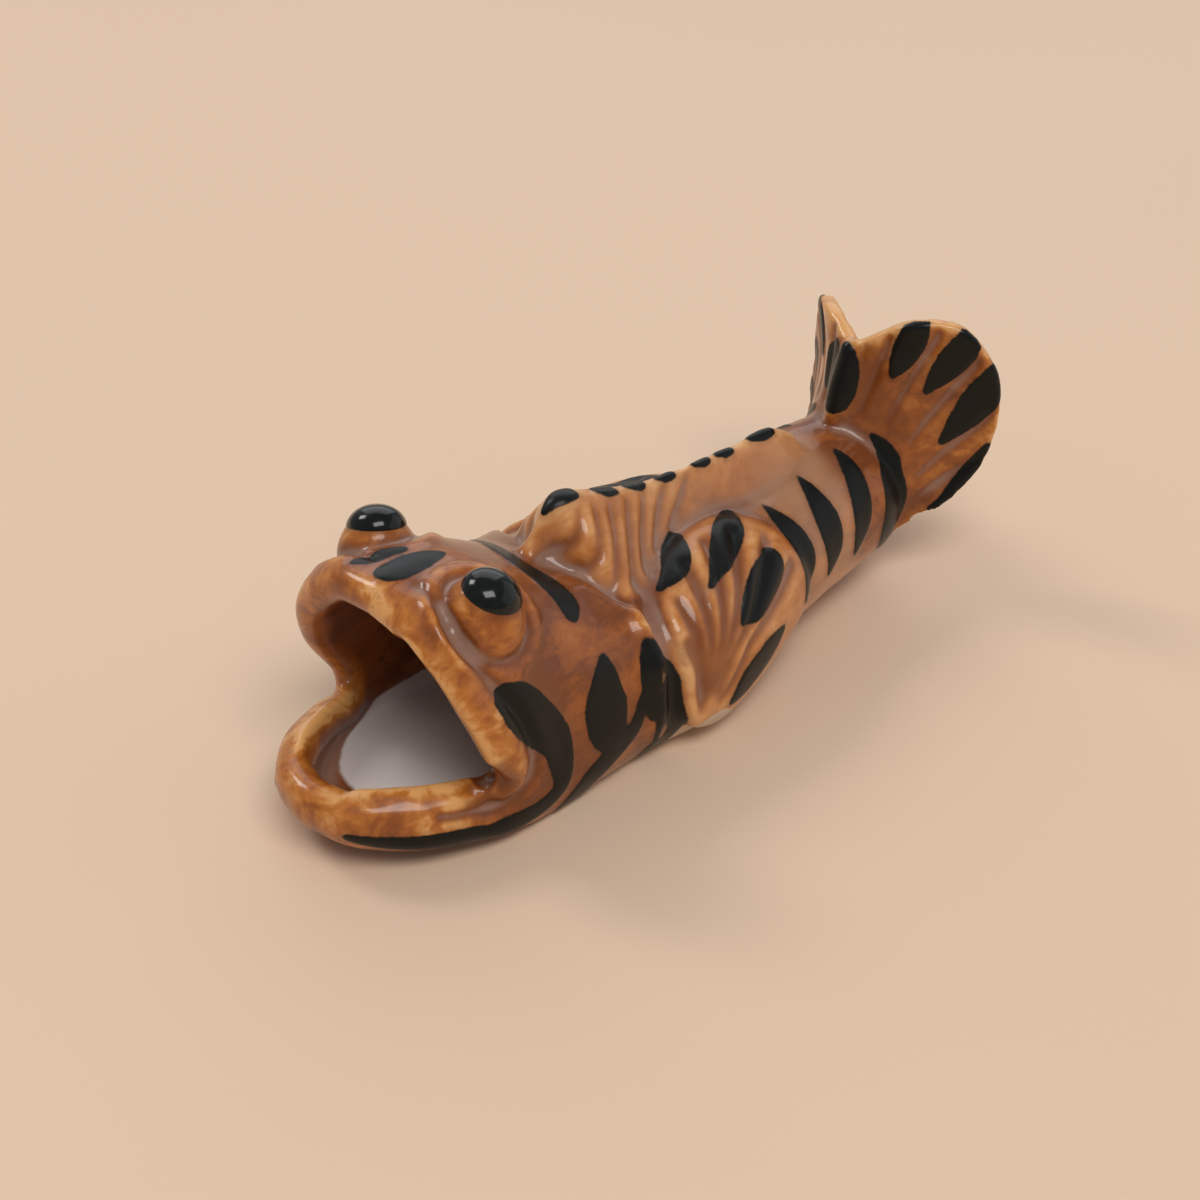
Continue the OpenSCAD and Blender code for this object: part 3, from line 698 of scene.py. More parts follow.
# Where strokes are laid: on the skin, at the root of the tail, on the lip, on the back fin and on
# the hollow faces and backs of the tail lobes
def on_skin(u, a):
    """Places on the outermost clay over the body's skin."""
    spots = []
    for from_skin, way in zip(skin(u, a), skin_normal(u, a)):
        hit = surface.ray_cast(Vector(from_skin + 2.5 * way), Vector(-way), 4)[0]
        spots.append(from_skin if hit is None else np.array(hit))
    return np.array(spots)


def over_root(u, a):
    """Places in the corner between the body's end and the tail."""
    return over_skin(u, a, 0.8)


def on_lip(a, turn):
    """Places round the lip: by angle from the top, and turn from its outside to its inside."""
    return lip_point(a, turn[:, None])


def on_back(k, t):
    """Places on the back fin: k runs along it, and t is 0 on its ridge and 1 at its left edge."""
    r = read(DORSAL, k)
    spots = over_skin(trunk_u(DORSAL_START + DORSAL_L / BODY_L * k), r[..., 2] * t, 0.4)
    spots[..., 2] += DORSAL_H * r[..., 1] * ridge_height(t)
    return spots


def tail_places(side, back):
    """Places on a tail lobe: side is 1 for the left one, and back is 1 for its far face."""
    def places(q, p):
        return tail_sheet(side * TAIL_LEAN / 2, back, q, p) * (1, side, 1)
    return places


on_left_tail, on_right_tail = tail_places(1, 0), tail_places(-1, 0)
behind_left_tail, behind_right_tail = tail_places(1, 1), tail_places(-1, 1)


# How far outside a stroke's edge its distance is still worked out, in mm, for paint and relief
REACH, RELIEF_REACH = 3.0, 1.0


def laid(where, rows):
    """A stroke's points on the clay, its half widths, and the way that it faces."""
    rows = np.asarray(rows, float)
    line = curve(rows, np.linspace(0, len(rows) - 1, 5 * (len(rows) - 1) + 1))
    hits = [surface.find_nearest(Vector(spot)) for spot in where(line[:, 0], line[:, 1])]
    return (np.array([h[0] for h in hits]), np.maximum(line[:, 2], 0.03),
            unit(np.array([h[1] for h in hits]).mean(0)))


def stroke_edge(where, rows, reach=REACH):
    """Points near a stroke, their distance from its edge, below zero inside, and its width."""
    path, half, way = laid(where, rows)
    low, high = path.min(0) - reach - half.max(), path.max(0) + reach + half.max()
    near = np.flatnonzero(((points > low) & (points < high)).all(1) & (normals @ way > 0))
    spots = points[near]
    best, width = np.full(len(near), reach), np.full(len(near), half[0])
    for a, b, wide, wider in zip(path, path[1:], half, half[1:]):
        ab = b - a
        t = np.clip((spots - a) @ ab / max(ab @ ab, 1e-9), 0, 1)
        w = mix(wide, wider, t)
        d = np.linalg.norm(spots - a - t[:, None] * ab, axis=1) - w
        width = np.where(d < best, w, width)
        best = np.minimum(best, d)
    return near, best, width


def nearest_edge(strokes):
    """Distance of each point from the nearest edge of these strokes, below zero inside."""
    found = np.full(len(points), REACH)
    for where, rows in strokes:
        near, edge, _ = stroke_edge(where, rows)
        found[near] = np.minimum(found[near], edge)
    return found


def both_sides(where, rows):
    """A stroke on the fish's left side, and the same on its right side, with angles turned over."""
    if where is on_lip:
        return [(where, rows), (where, [(-a, turn, w) for a, turn, w in rows])]
    return [(where, rows), (where, [(u, -a, w) for u, a, w in rows])]


# Relief pressed or raised with a tool: where, depth in mm, then place, angle and half width
RAY_DEPTH, PLEAT_DEPTH, TAIL_RAY_DEPTH = -0.6, -0.42, -0.5


def fan_rays(side):
    """Grooves between the fan's rays, from its root to just inside its border."""
    rays = []
    for place, angle in ((0.07, 70), (0.14, 48), (0.30, 34), (0.50, 27), (0.68, 29), (0.82, 42),
                         (0.90, 64)):
        ray = []
        for k, half in ((0.12, 0.35), (0.45, 0.9), (0.75, 1.3), (0.95, 1.0)):
            at = PECTORAL_START + mix(FAN_ROOT[0], place, k) * PECTORAL_L / BODY_L
            turned = mix(FAN_ROOT[1], angle, k) - side * PECTORAL_TURN / 2
            ray.append((trunk_u(at), side * turned, half))
        rays.append((on_skin, RAY_DEPTH, ray))
    return rays


def back_pleats(side):
    """Shallow pleats down the front half of the back fin."""
    return [(on_back, PLEAT_DEPTH, [(k, side * 0.22, 0.5), (k - 0.05, side * 0.55, 1.0),
                                    (k - 0.13, side * 0.95, 0.8)])
            for k in (0.15, 0.21, 0.27, 0.34, 0.41, 0.49, 0.58)]


def tail_rays(where):
    """Grooves between the rays of a tail lobe."""
    return [(where, TAIL_RAY_DEPTH, [(q, 0.25, 0.4), (q, 0.6, 0.75), (q, 0.92, 0.8)])
            for q in (0.14, 0.31, 0.48, 0.66, 0.79)]


# On both sides of the fish
both_relief = [
    # Valley behind the rolled lip: beside the eye, round the corner and behind the lower lip
    (on_skin, -0.7, [
        (0.20, 12, 0.5), (0.18, 24, 1.0), (0.13, 34, 1.3), (0.21, 46, 1.3), (0.33, 58, 1.1),
        (0.43, 70, 1.1), (0.45, 82, 1.2), (0.42, 90, 1.2), (0.30, 95, 1.1), (0.16, 102, 1.0),
        (0.08, 113, 0.9), (0.02, 124, 0.6)]),
    # Swell of the lip at the corner of the mouth, and the hollow beside it
    (on_skin, 0.4, [(0.17, 62, 1.3), (0.22, 74, 1.5), (0.20, 84, 1.5), (0.10, 96, 1.2)]),
    (on_skin, -0.4, [(0.03, 86, 0.8), (0.10, 94, 0.9), (0.05, 104, 0.7)]),
    # Groove behind the gill cover
    (on_skin, -0.3, [(1.255, 30, 0.6), (1.26, 42, 0.9), (1.25, 58, 0.9), (1.25, 80, 0.8)]),
    # Swell of the lower lip towards the corner of the mouth, and the pit in the corner
    (on_lip, 0.8, [(98, 80, 1.2), (106, 92, 1.8), (116, 96, 1.9), (128, 98, 1.7), (142, 98, 1.2),
                   (156, 98, 0.5)]),
    (on_lip, -0.9, [(78, 38, 0.7), (82, 34, 1.0), (87, 26, 0.9), (91, 16, 0.6)]),
]
# On one side, or in the middle
single_relief = [
    # Round ridge where the two halves of the tail meet
    (on_left_tail, 0.7, [(0.0, 1.00, 1.2), (0.0, 0.70, 2.0), (0.0, 0.40, 2.2), (0.0, 0.20, 1.6)]),
    # Knobs of clay at the top of the left gill cover, and a speck in the glaze
    (on_skin, 0.6, [(1.22, 33, 1.5), (1.215, 38, 1.8), (1.21, 43, 1.5)]),
    (on_skin, 0.5, [(1.205, 47, 1.4), (1.20, 51, 1.7), (1.195, 56, 1.3)]),
    (on_skin, 0.16, [(1.105, 47, 0.5), (1.11, 48, 0.5)]),
    # The left side of the lip is pinched thinner, from inside the mouth
    (on_lip, -1.6, [(26, 120, 1.2), (44, 120, 2.4), (60, 118, 3.0), (76, 115, 3.2),
                    (86, 112, 2.4), (93, 110, 1.2)]),
]

relief_strokes = fan_rays(1) + fan_rays(-1) + back_pleats(1) + back_pleats(-1)
for where in (on_left_tail, on_right_tail, behind_left_tail, behind_right_tail):
    relief_strokes += tail_rays(where)
for where, depth, left in both_relief:
    relief_strokes += [(where, depth, rows) for where, rows in both_sides(where, left)]
relief_strokes += single_relief

# Painted dabs: place, angle and half width in mm along each. These are on both sides
side_dabs = [
    # Cheek: a broad blob that runs down and forwards under the jaw, a drop, and a low band
    [(0.35, 60, 1.7), (0.45, 66, 2.5), (0.58, 75, 2.4), (0.72, 85, 2.0), (0.88, 94, 1.5),
     (0.90, 102, 1.1), (0.72, 108, 1.2), (0.50, 113, 1.3), (0.32, 122, 1.3), (0.20, 134, 1.1),
     (0.13, 146, 0.9), (0.08, 158, 0.5)],
    [(1.10, 60, 0.2), (1.09, 70, 1.4), (1.08, 82, 2.3), (1.085, 91, 2.5), (1.10, 99, 1.0)],
    [(1.16, 90, 0.4), (1.14, 99, 1.2), (1.09, 106, 1.6), (1.03, 116, 1.5), (0.98, 126, 0.9)],
    # Behind the gill cover, in two strokes
    [(1.19, 58, 0.3), (1.183, 68, 0.9), (1.18, 78, 1.15), (1.18, 90, 1.0), (1.19, 97, 0.4)],
    [(1.20, 60, 0.3), (1.215, 76, 0.9), (1.222, 88, 1.4), (1.225, 97, 1.8), (1.235, 108, 2.0),
     (1.23, 118, 1.6), (1.19, 126, 0.7)],
    # Stripes down the flank and round the root of the tail
    [(1.62, 25, 0.25), (1.63, 42, 1.1), (1.64, 58, 1.6), (1.64, 74, 1.5), (1.605, 92, 0.5)],
    [(1.73, 23, 0.25), (1.73, 42, 1.15), (1.732, 60, 1.75), (1.73, 78, 1.5), (1.71, 94, 0.4)],
    [(1.84, 21, 0.25), (1.842, 40, 1.15), (1.835, 60, 1.5), (1.822, 78, 1.4), (1.80, 96, 0.4)],
]
# On the fans: the right one's dabs sit this many degrees lower round the body
fan_dabs = [
    [(1.405, 17, 0.8), (1.37, 25.5, 1.5), (1.34, 33, 1.4), (1.29, 38, 0.5)],
    [(1.54, 20, 0.9), (1.50, 28.5, 1.65), (1.45, 37.5, 1.5), (1.37, 49.5, 0.4)],
    [(1.54, 49, 0.7), (1.53, 57, 1.7), (1.49, 62, 2.1), (1.44, 69, 1.6), (1.40, 74, 0.5)],
    [(1.51, 92, 0.5), (1.465, 95, 1.7), (1.41, 99, 1.8), (1.36, 103, 0.5)],
]
FAN_DABS_LOWER = 7
root_dab = [(1.932, 24, 0.3), (1.932, 38, 0.9), (1.932, 58, 1.6), (1.93, 80, 2.0), (1.92, 98, 1.8),
            (1.905, 114, 0.7)]
middle_dabs = [
    # Forehead and crown
    [(0.08, -1, 1.0), (0.16, 0, 1.6), (0.36, 0, 1.6), (0.54, 0, 1.1), (0.66, 0, 0.5)],
    [(0.04, -17, 0.4), (0.13, -14, 0.8), (0.29, -12, 0.8), (0.45, -9, 0.4)],
    [(1.10, -30, 0.5), (1.08, -14, 1.0), (1.07, 4, 1.2), (1.085, 19, 1.45), (1.09, 31, 1.5),
     (1.08, 38, 1.0)],
]
# Along the ridge of the back fin, on both its sides
ridge_dabs = [
    [(0.07, 0.0, 0.5), (0.12, 0.04, 1.0), (0.16, 0.06, 0.8)],
    [(0.245, 0.02, 0.3), (0.28, 0.08, 0.6), (0.31, 0.10, 0.45)],
    [(0.355, 0.02, 0.3), (0.39, 0.08, 0.6), (0.415, 0.10, 0.45)],
    [(0.47, 0.02, 0.3), (0.50, 0.10, 0.6), (0.525, 0.12, 0.45)],
    [(0.605, 0.02, 0.3), (0.635, 0.10, 0.6), (0.655, 0.12, 0.4)],
    [(0.69, 0.02, 0.3), (0.72, 0.12, 0.6), (0.745, 0.14, 0.4)],
    [(0.82, 0.02, 0.4), (0.855, 0.14, 0.75), (0.90, 0.16, 0.5)],
]
# On the hollow faces of the tail lobes, and on the ridge between them
left_tail_dabs = [
    [(0.225, 1.00, 1.1), (0.23, 0.85, 1.6), (0.23, 0.70, 1.3), (0.225, 0.57, 0.4)],
    [(0.405, 1.00, 1.3), (0.41, 0.85, 1.8), (0.405, 0.70, 1.4), (0.395, 0.54, 0.4)],
    [(0.555, 1.00, 1.5), (0.58, 0.84, 2.0), (0.60, 0.66, 1.5), (0.605, 0.48, 0.4)],
    [(0.77, 0.97, 0.5), (0.82, 0.92, 1.05), (0.88, 0.88, 1.0), (0.95, 0.88, 0.4)],
    [(0.0, 0.92, 1.2), (0.0, 0.72, 1.9), (0.0, 0.48, 1.9), (0.0, 0.34, 1.1)],
]
right_tail_dabs = [
    [(0.37, 1.00, 0.9), (0.37, 0.85, 1.4), (0.37, 0.68, 1.1), (0.36, 0.56, 0.4)],
    [(0.58, 0.88, 0.5), (0.585, 0.78, 1.2), (0.59, 0.66, 1.1), (0.60, 0.54, 0.4)],
    [(0.73, 0.90, 0.5), (0.74, 0.80, 1.2), (0.75, 0.68, 1.1), (0.76, 0.58, 0.4)],
    [(0.86, 0.97, 0.5), (0.90, 0.92, 0.9), (0.95, 0.88, 0.5)],
    [(0.10, 0.80, 1.0), (0.13, 0.64, 1.6), (0.12, 0.46, 1.5)],
]
# Where the brush left a gap that shows amber, on both sides
brush_gap = [(1.215, 103, 0.25), (1.222, 108, 0.5), (1.22, 112, 0.3)]

dab_strokes = both_sides(over_root, root_dab)
dab_strokes += [(on_skin, rows) for rows in middle_dabs + fan_dabs]
dab_strokes += [(on_left_tail, rows) for rows in left_tail_dabs]
dab_strokes += [(on_right_tail, rows) for rows in right_tail_dabs]
for rows in side_dabs:
    dab_strokes += both_sides(on_skin, rows)
for rows in fan_dabs:
    dab_strokes += [(on_skin, [(u, -a - FAN_DABS_LOWER, w) for u, a, w in rows])]
for rows in ridge_dabs:
    dab_strokes += both_sides(on_back, rows)

# Where the amber glaze has run together and stands deep: the corners of the mouth, the gap in
# the dab, the hollows of the tail and the inner edge of the lip
mouth_corner_pool = [(0.0, 76, 0.6), (0.0, 84, 1.0), (0.0, 92, 0.9), (0.0, 104, 0.6),
                     (0.0, 112, 0.4)]
gap_pool = [(1.215, 103, 0.6), (1.22, 112, 0.8)]
tail_pool = [(0.08, 0.85, 0.8), (0.11, 0.62, 1.6), (0.15, 0.38, 2.0), (0.30, 0.28, 1.8),
             (0.42, 0.25, 1.0)]
lip_pool = [(a, 140, 0.3) for a in range(-180, 181, 10)]
pool_strokes = both_sides(on_skin, mouth_corner_pool) + both_sides(on_skin, gap_pool)
pool_strokes += [(on_left_tail, tail_pool), (on_right_tail, tail_pool), (on_lip, lip_pool)]

# Work the relief into the clay
relief = np.zeros(len(points))
for where, depth, rows in relief_strokes:
    near, edge, width = stroke_edge(where, rows, RELIEF_REACH)
    relief[near] += depth * ease(-edge / width)
relief = evened(relief, edges, 5)

# The slight waves that hands leave in clay, anywhere above the foot
WAVE_H, WAVE_FROM = 0.03, 1.5
wave = (np.sin(points @ (0.9, 0.35, 0.2)) + np.sin(points @ (-0.3, 0.8, 0.55) + 1.3)
        + np.sin(points @ (0.25, -0.45, 1.0) + 0.6))
points = points + normals * (relief + WAVE_H * wave * (points[:, 2] > WAVE_FROM))[:, None]
normals = facing(points, faces)

# Crests and hollows, narrow and broad, where the glaze runs thin or gathers
crest = ((points - evened(points, edges, NARROW)) * normals).sum(1)
broad = ((points - evened(points, edges, BROAD)) * normals).sum(1)

# Brushed dabs, from their distance to the brush's edge, each standing a little proud
DAB_T = 0.13
dab = nearest_edge(dab_strokes)
for where, rows in both_sides(on_skin, brush_gap):
    near, edge, _ = stroke_edge(where, rows)
    dab[near] = np.maximum(dab[near], -edge)
dab = evened(dab, edges, 2)
points = points + normals * (DAB_T * ease(0.5 - dab / 0.5))[:, None]
normals = facing(points, faces)


def share_of(kinds, times):
    """1 on the pieces whose names hold one of these words, 0 elsewhere, softly in between."""
    numbers = [n for n, name in enumerate(pieces) if any(kind in name for kind in kinds)]
    held = np.bincount(faces.ravel(), np.repeat(np.isin(label, numbers), 4), len(points))
    return evened(np.clip(held / 4, 0, 1), edges, times)


fin = share_of(["fin"], 12)
x, z = points[:, 0], points[:, 2]

# White glaze lies on the floor of the mouth: its start on the way to the neck, its height and
# its end in the pocket
WHITE_START, WHITE_TOP, WHITE_END = 0.30, 4.5, 34
white = (ease((within - WHITE_START) / 0.14) * ease((WHITE_TOP - z) / 1.6 + 0.5)
         * ease((WHITE_END - x) / 4))

# Close to the floor the glaze was wiped off, most of all in a strip beside the middle of the foot
WIPED_H = 0.6
STRIP_X, STRIP_H, STRIP_SLOPE, STRIP_ROUND = 10, 4.1, 0.33, 0.15
along = x - STRIP_X
strip = STRIP_H + STRIP_SLOPE * along - STRIP_ROUND * along ** 2 - z

# The rear of the body, and in part the fins, take a paler glaze with painted pink sheen over it
REAR_START, REAR_END = 21, 42
rear = np.maximum(ease((x - REAR_START) / 12) * ease((REAR_END - x) / 6), 0.55 * fin)

# The dark cap has run a little down each ball, to this angle from the cap's middle
CAP_RUN = 46
run_down = np.zeros(len(points))
for side, sink in ((1, LEFT_SINK), (-1, RIGHT_SINK)):
    out = (points * (1, side, 1) - EYE_FOOT + EYE_UP * sink) / (1, 1, EYE_RISE)
    angle = np.degrees(np.arccos(np.clip(unit(out) @ PUPIL_WAY, -1, 1)))
    near_ball = np.linalg.norm(out, axis=1) < EYE_D / 2 + 0.6
    run_down = np.maximum(run_down, near_ball * ease(1 - (angle - CAP_RUN) / 12))

# What the glazes read at each point
readings = {
    "dab": dab,
    "pool": np.maximum(ease(0.5 - nearest_edge(pool_strokes)), 0.9 * run_down),
    "crest": crest,
    "broad": broad,
    "fin": fin,
    "tail": share_of(["lobe"], 12),
    "eye": share_of(["eyeball"], 4),
    "white": evened(white, edges, 6),
    "bare": np.maximum(WIPED_H - z, strip),
    "rear": rear,
    "groove": -relief,
}


# Take the pieces apart again. The bed that a piece sits on lies this deep in the body's skin, and
# deeper by a share of what was pressed into it
BED_UNDER = 0.5
BED_PRESSED = 1.1
pressed = evened(np.maximum(-relief, 0), edges, 2)


def bed_of(own):
    """Places under a piece, in the body's skin, and under what was pressed into it."""
    spots = []
    for v in own:
        place, way, _, _ = body_only.find_nearest(Vector(points[v]))
        under = BED_UNDER + BED_PRESSED * pressed[v]
        spots.append(np.array(place) - under * np.array(way))
    return np.array(spots)


def turned_in(own, rim):
    """Faces with three corners on the rim are cut in two, from the corner inside."""
    inside = ~np.isin(own, rim)
    corner = inside.sum(1) == 1
    d, a, b, c = np.array([np.roll(f, -k) for f, k in
                           zip(own[corner], inside[corner].argmax(1))]).reshape(-1, 4).T
    return np.concatenate([own[~corner], np.stack([d, a, b, b], 1), np.stack([d, b, c, c], 1)])


def rim_edges(own_faces):
    """The edges where a piece ends, from their first to their second points."""
    a, b = own_faces.ravel(), np.roll(own_faces, -1, axis=1).ravel()
    size = len(points)
    lone = ~np.isin(a.astype(np.int64) * size + b, b.astype(np.int64) * size + a)
    return a[lone], b[lone]


# A lobe of the tail is closed by a fan of triangles, and the other pieces by their beds
extra_points, extra_normals, body_caps, piece_faces = [], [], [], {}
count = len(points)
for number, name in enumerate(pieces):
    if number == BODY:
        continue
    own = faces[label == number]
    a, b = rim_edges(own)
    if number in TAILS:
        extra_points.append(points[a].mean(0)[None])
        extra_normals.append(np.array([[1.0, 0, 0]]))
        middle = np.full(len(a), count)
        body_caps.append(np.stack([a, b, middle, middle], -1))
        piece_faces[name] = np.concatenate([own, np.stack([b, a, middle, middle], -1)])
        count += 1
    else:
        inner = np.setdiff1d(np.unique(own), a)
        under = np.arange(len(points))
        under[inner] = count + np.arange(len(inner))
        extra_points.append(bed_of(inner))
        extra_normals.append(normals[inner])
        own = turned_in(own, a)
        body_caps.append(under[own])
        piece_faces[name] = np.concatenate([own, under[own][:, ::-1]])
        count += len(inner)
piece_faces["body_shell"] = np.concatenate([faces[label == BODY]] + body_caps)
all_points = np.concatenate([points] + extra_points)
all_normals = np.concatenate([unit(evened(normals, edges, 3))] + extra_normals)


def piece_mesh(name, own):
    """Mesh of a piece, with its readings and the normals of the whole fish."""
    used, index = np.unique(own, return_inverse=True)
    index = index.reshape(own.shape)
    rows = [list(dict.fromkeys(f)) for f in index.tolist()]
    mesh = bpy.data.meshes.new(name)
    mesh.from_pydata((all_points[used] * MM).tolist(), [], rows)
    mesh.shade_smooth()
    for key, values in readings.items():
        held = mesh.attributes.new(key, "FLOAT", "POINT")
        full = np.zeros(len(all_points))
        full[:len(values)] = values
        held.data.foreach_set("value", full[used].astype(np.float32))
    mesh.normals_split_custom_set_from_vertices(all_normals[used].tolist())
    return mesh


# The finishes
class Finish:
    """A material, whose shader is written as sums on its sockets."""

    def __init__(self, name):
        self.material = bpy.data.materials.new(name)
        self.material.use_nodes = True
        self.tree = self.material.node_tree
        self.tree.nodes.clear()
        self.shader = self.tree.nodes.new("ShaderNodeBsdfPrincipled")
        out = self.tree.nodes.new("ShaderNodeOutputMaterial")
        self.tree.links.new(self.shader.outputs[0], out.inputs[0])

    def node(self, kind, settings, sockets):
        made = self.tree.nodes.new(kind)
        for key, value in settings.items():
            setattr(made, key, value)
        for key, value in sockets.items():
            self.give(made.inputs[key], value)
        return made

    def give(self, socket, value):
        if isinstance(value, Reading):
            self.tree.links.new(value.socket, socket)
        elif isinstance(value, bpy.types.NodeSocket):
            self.tree.links.new(value, socket)
        else:
            socket.default_value = value

    def set(self, **sockets):
        for key, value in sockets.items():
            self.give(self.shader.inputs[key.replace("_", " ")], value)

    def reading(self, name):
        """A value kept at the points of the mesh."""
        return Reading(self, self.node("ShaderNodeAttribute", {"attribute_name": name}, {})
                       .outputs["Fac"])

    def place(self):
        return self.node("ShaderNodeTexCoord", {}, {}).outputs["Object"]

    def cloud(self, size, detail=3.0, stretch=(1, 1, 1), warp=0.0):
        """Soft noise from 0 to 1, its lumps about this many mm across."""
        scaled = self.node("ShaderNodeVectorMath", {"operation": "MULTIPLY"},
                           {0: self.place(), 1: [v / (size * MM) for v in stretch]})
        made = self.node("ShaderNodeTexNoise", {}, {
            "Vector": scaled.outputs[0], "Scale": 1.0, "Detail": detail, "Roughness": 0.55,
            "Distortion": warp})
        return Reading(self, made.outputs["Fac"])

    def tint(self, mask, under, over):
        """Colour under, changing to colour over with the mask."""
        made = self.node("ShaderNodeMix", {"data_type": "RGBA"}, {0: mask, 6: under, 7: over})
        return made.outputs[2]

    def bump(self, height, distance, strength=1.0):
        made = self.node("ShaderNodeBump", {}, {
            "Strength": strength, "Distance": distance * MM, "Height": height})
        return made.outputs["Normal"]


class Reading:
    """A number that changes over a surface, with sums written as usual."""

    def __init__(self, finish, socket):
        self.finish, self.socket = finish, socket

    def sum(self, operation, a, b):
        made = self.finish.node("ShaderNodeMath", {"operation": operation}, {0: a, 1: b})
        return Reading(self.finish, made.outputs[0])

    def __add__(self, other):
        return self.sum("ADD", self, other)

    __radd__ = __add__

    def __sub__(self, other):
        return self.sum("SUBTRACT", self, other)

    def __rsub__(self, other):
        return self.sum("SUBTRACT", other, self)

    def __mul__(self, other):
        return self.sum("MULTIPLY", self, other)

    __rmul__ = __mul__

    def from_to(self, low, high):
        """0 below low and 1 above high, with a soft change between them."""
        made = self.finish.node("ShaderNodeMapRange", {"interpolation_type": "SMOOTHSTEP"}, {
            "Value": self, "From Min": low, "From Max": high})
        return Reading(self.finish, made.outputs[0])


def rgb(red, green, blue):
    """A colour given as 0 to 255, as the shader takes it."""
    c = np.array([red, green, blue]) / 255
    c = np.where(c < 0.04045, c / 12.92, ((c + 0.055) / 1.055) ** 2.4)
    return (*(float(v) for v in c), 1.0)


HONEY = rgb(188, 114, 44)
PALE_HONEY = rgb(221, 162, 98)
# Pale pinkish honey: a paler glaze with painted sheen on it
PALE_HONEY_AND_SHEEN = rgb(222, 172, 130)
AMBER = rgb(154, 84, 32)
BROWN = rgb(118, 62, 26)
DARK_BROWN = rgb(66, 31, 13)
DEEP_AMBER = rgb(120, 60, 10)
# Greyish lilac of the painted sheen in hollows
HOLLOW_SHEEN = rgb(166, 134, 118)
BRUSH_BLACK = rgb(9, 12, 8)
CLEAR_WHITE = rgb(220, 210, 204)
CAP_BLACK = rgb(4, 6, 5)
CAP_GREEN = rgb(14, 20, 15)
BARE_CLAY = rgb(205, 182, 158)
CLAY_GRAIN = rgb(186, 160, 134)
CLAY_SPECK = rgb(120, 84, 58)
FLOOR = rgb(230, 203, 176)
FLOOR_SHADE = rgb(224, 195, 167)


def fish_glaze(name):
    """Amber glaze that breaks to honey on crests and pools to brown in hollows."""
    glaze = Finish(name)
    crest, fin, dab = glaze.reading("crest"), glaze.reading("fin"), glaze.reading("dab")
    clouded = 1 - 0.5 * fin
    large = glaze.cloud(8.0, 3.0, (0.6, 1, 1), 0.6)
    middle = glaze.cloud(3.0, 4.0, (0.7, 1, 1), 1.2)
    small = glaze.cloud(1.1, 4.0, (0.8, 1, 1), 0.8)
    fine = glaze.cloud(0.4, 2.0)
    # The thinner the glaze lies, the paler it is
    thin = (0.17 + 0.38 * fin + 0.24 * glaze.reading("tail") + 0.05 * glaze.reading("eye")
            + 1.1 * crest + 0.2 * glaze.reading("broad")
            + clouded * (2.0 * (large - 0.5) + 1.6 * (middle - 0.5) + 0.7 * (small - 0.5)))
    color = glaze.tint(thin.from_to(-0.05, 0.5), BROWN, AMBER)
    color = glaze.tint(thin.from_to(0.4, 0.85), color, HONEY)
    color = glaze.tint(thin.from_to(0.75, 1.2), color, PALE_HONEY)
    # Paler glaze and painted pink sheen over the rear, brown in grooves and mottles, painted sheen
    # in hollows, stains in pools
    # Painted sheen: the rear is lightened and turned pink, as a pale reflection on glossy glaze
    # would make it
    pale_and_sheen = (glaze.reading("rear") + 1.2 * (large - 0.5)).from_to(0.2, 1.0)
    color = glaze.tint(0.42 * pale_and_sheen, color, PALE_HONEY_AND_SHEEN)
    groove = (glaze.reading("groove") + 0.2 * (small - 0.5)).from_to(0.05, 0.5)
    color = glaze.tint(0.75 * groove, color, BROWN)
    mottle = (middle + 0.6 * (small - 0.5) - 0.3 * crest).from_to(0.54, 0.72)
    color = glaze.tint(0.6 * clouded * (1 - 0.7 * pale_and_sheen) * mottle, color, BROWN)
    # Painted sheen: hollows are tinted greyish lilac, as a pale reflection in thick glaze would
    # look
    hollow_sheen = (0.6 * (large - 0.5) - crest).from_to(0.04, 0.4)
    color = glaze.tint(0.55 * hollow_sheen, color, HOLLOW_SHEEN)
    deep = (0.6 * small + 0.4 * middle - 1.2 * crest).from_to(0.9, 1.8)
    color = glaze.tint(0.6 * (1 - 0.7 * pale_and_sheen) * deep, color, DARK_BROWN)
    stained = glaze.reading("pool") * (0.6 + 0.5 * small)
    color = glaze.tint(0.8 * stained, color, DEEP_AMBER)
    inner = (glaze.reading("white") + 0.25 * (small - 0.5)).from_to(0.34, 0.66)
    color = glaze.tint(inner, color, CLEAR_WHITE)
    # Dabs, black on a brown halo, and clay where the glaze was wiped off
    painted = 1 - (dab + 0.30 * (small - 0.5) + 0.10 * (fine - 0.5)).from_to(-0.10, 0.12)
    halo = 1 - (dab + 0.5 * (small - 0.5)).from_to(0.0, 0.8)
    color = glaze.tint(0.3 * halo, color, BROWN)
    color = glaze.tint(painted, color, BRUSH_BLACK)
    bare = (glaze.reading("bare") + 1.2 * (small - 0.5)).from_to(-0.05, 0.2)
    color = glaze.tint(bare, color, BARE_CLAY)
    dull = 0.45 * painted + 0.5 * bare
    glaze.set(Base_Color=color, Roughness=0.32 + 0.16 * (middle - 0.3) + 0.4 * bare,
              IOR=1.32, Coat_Weight=0.5 - dull, Coat_Roughness=0.09,
              Normal=glaze.bump(0.7 * glaze.cloud(1.3, 2.0) + 0.3 * fine, 0.06, 0.5))
    return glaze.material


def black_glaze():
    """Thick dark glaze, nearly black with a green depth."""
    glaze = Finish("black_eye_glaze")
    cloud = glaze.cloud(1.4, 3.0)
    color = glaze.tint(cloud.from_to(0.3, 0.75), CAP_BLACK, CAP_GREEN)
    glaze.set(Base_Color=color, Roughness=0.12 + 0.08 * cloud, IOR=1.32, Coat_Weight=0.3,
              Coat_Roughness=0.03, Normal=glaze.bump(cloud, 0.04, 0.4))
    return glaze.material


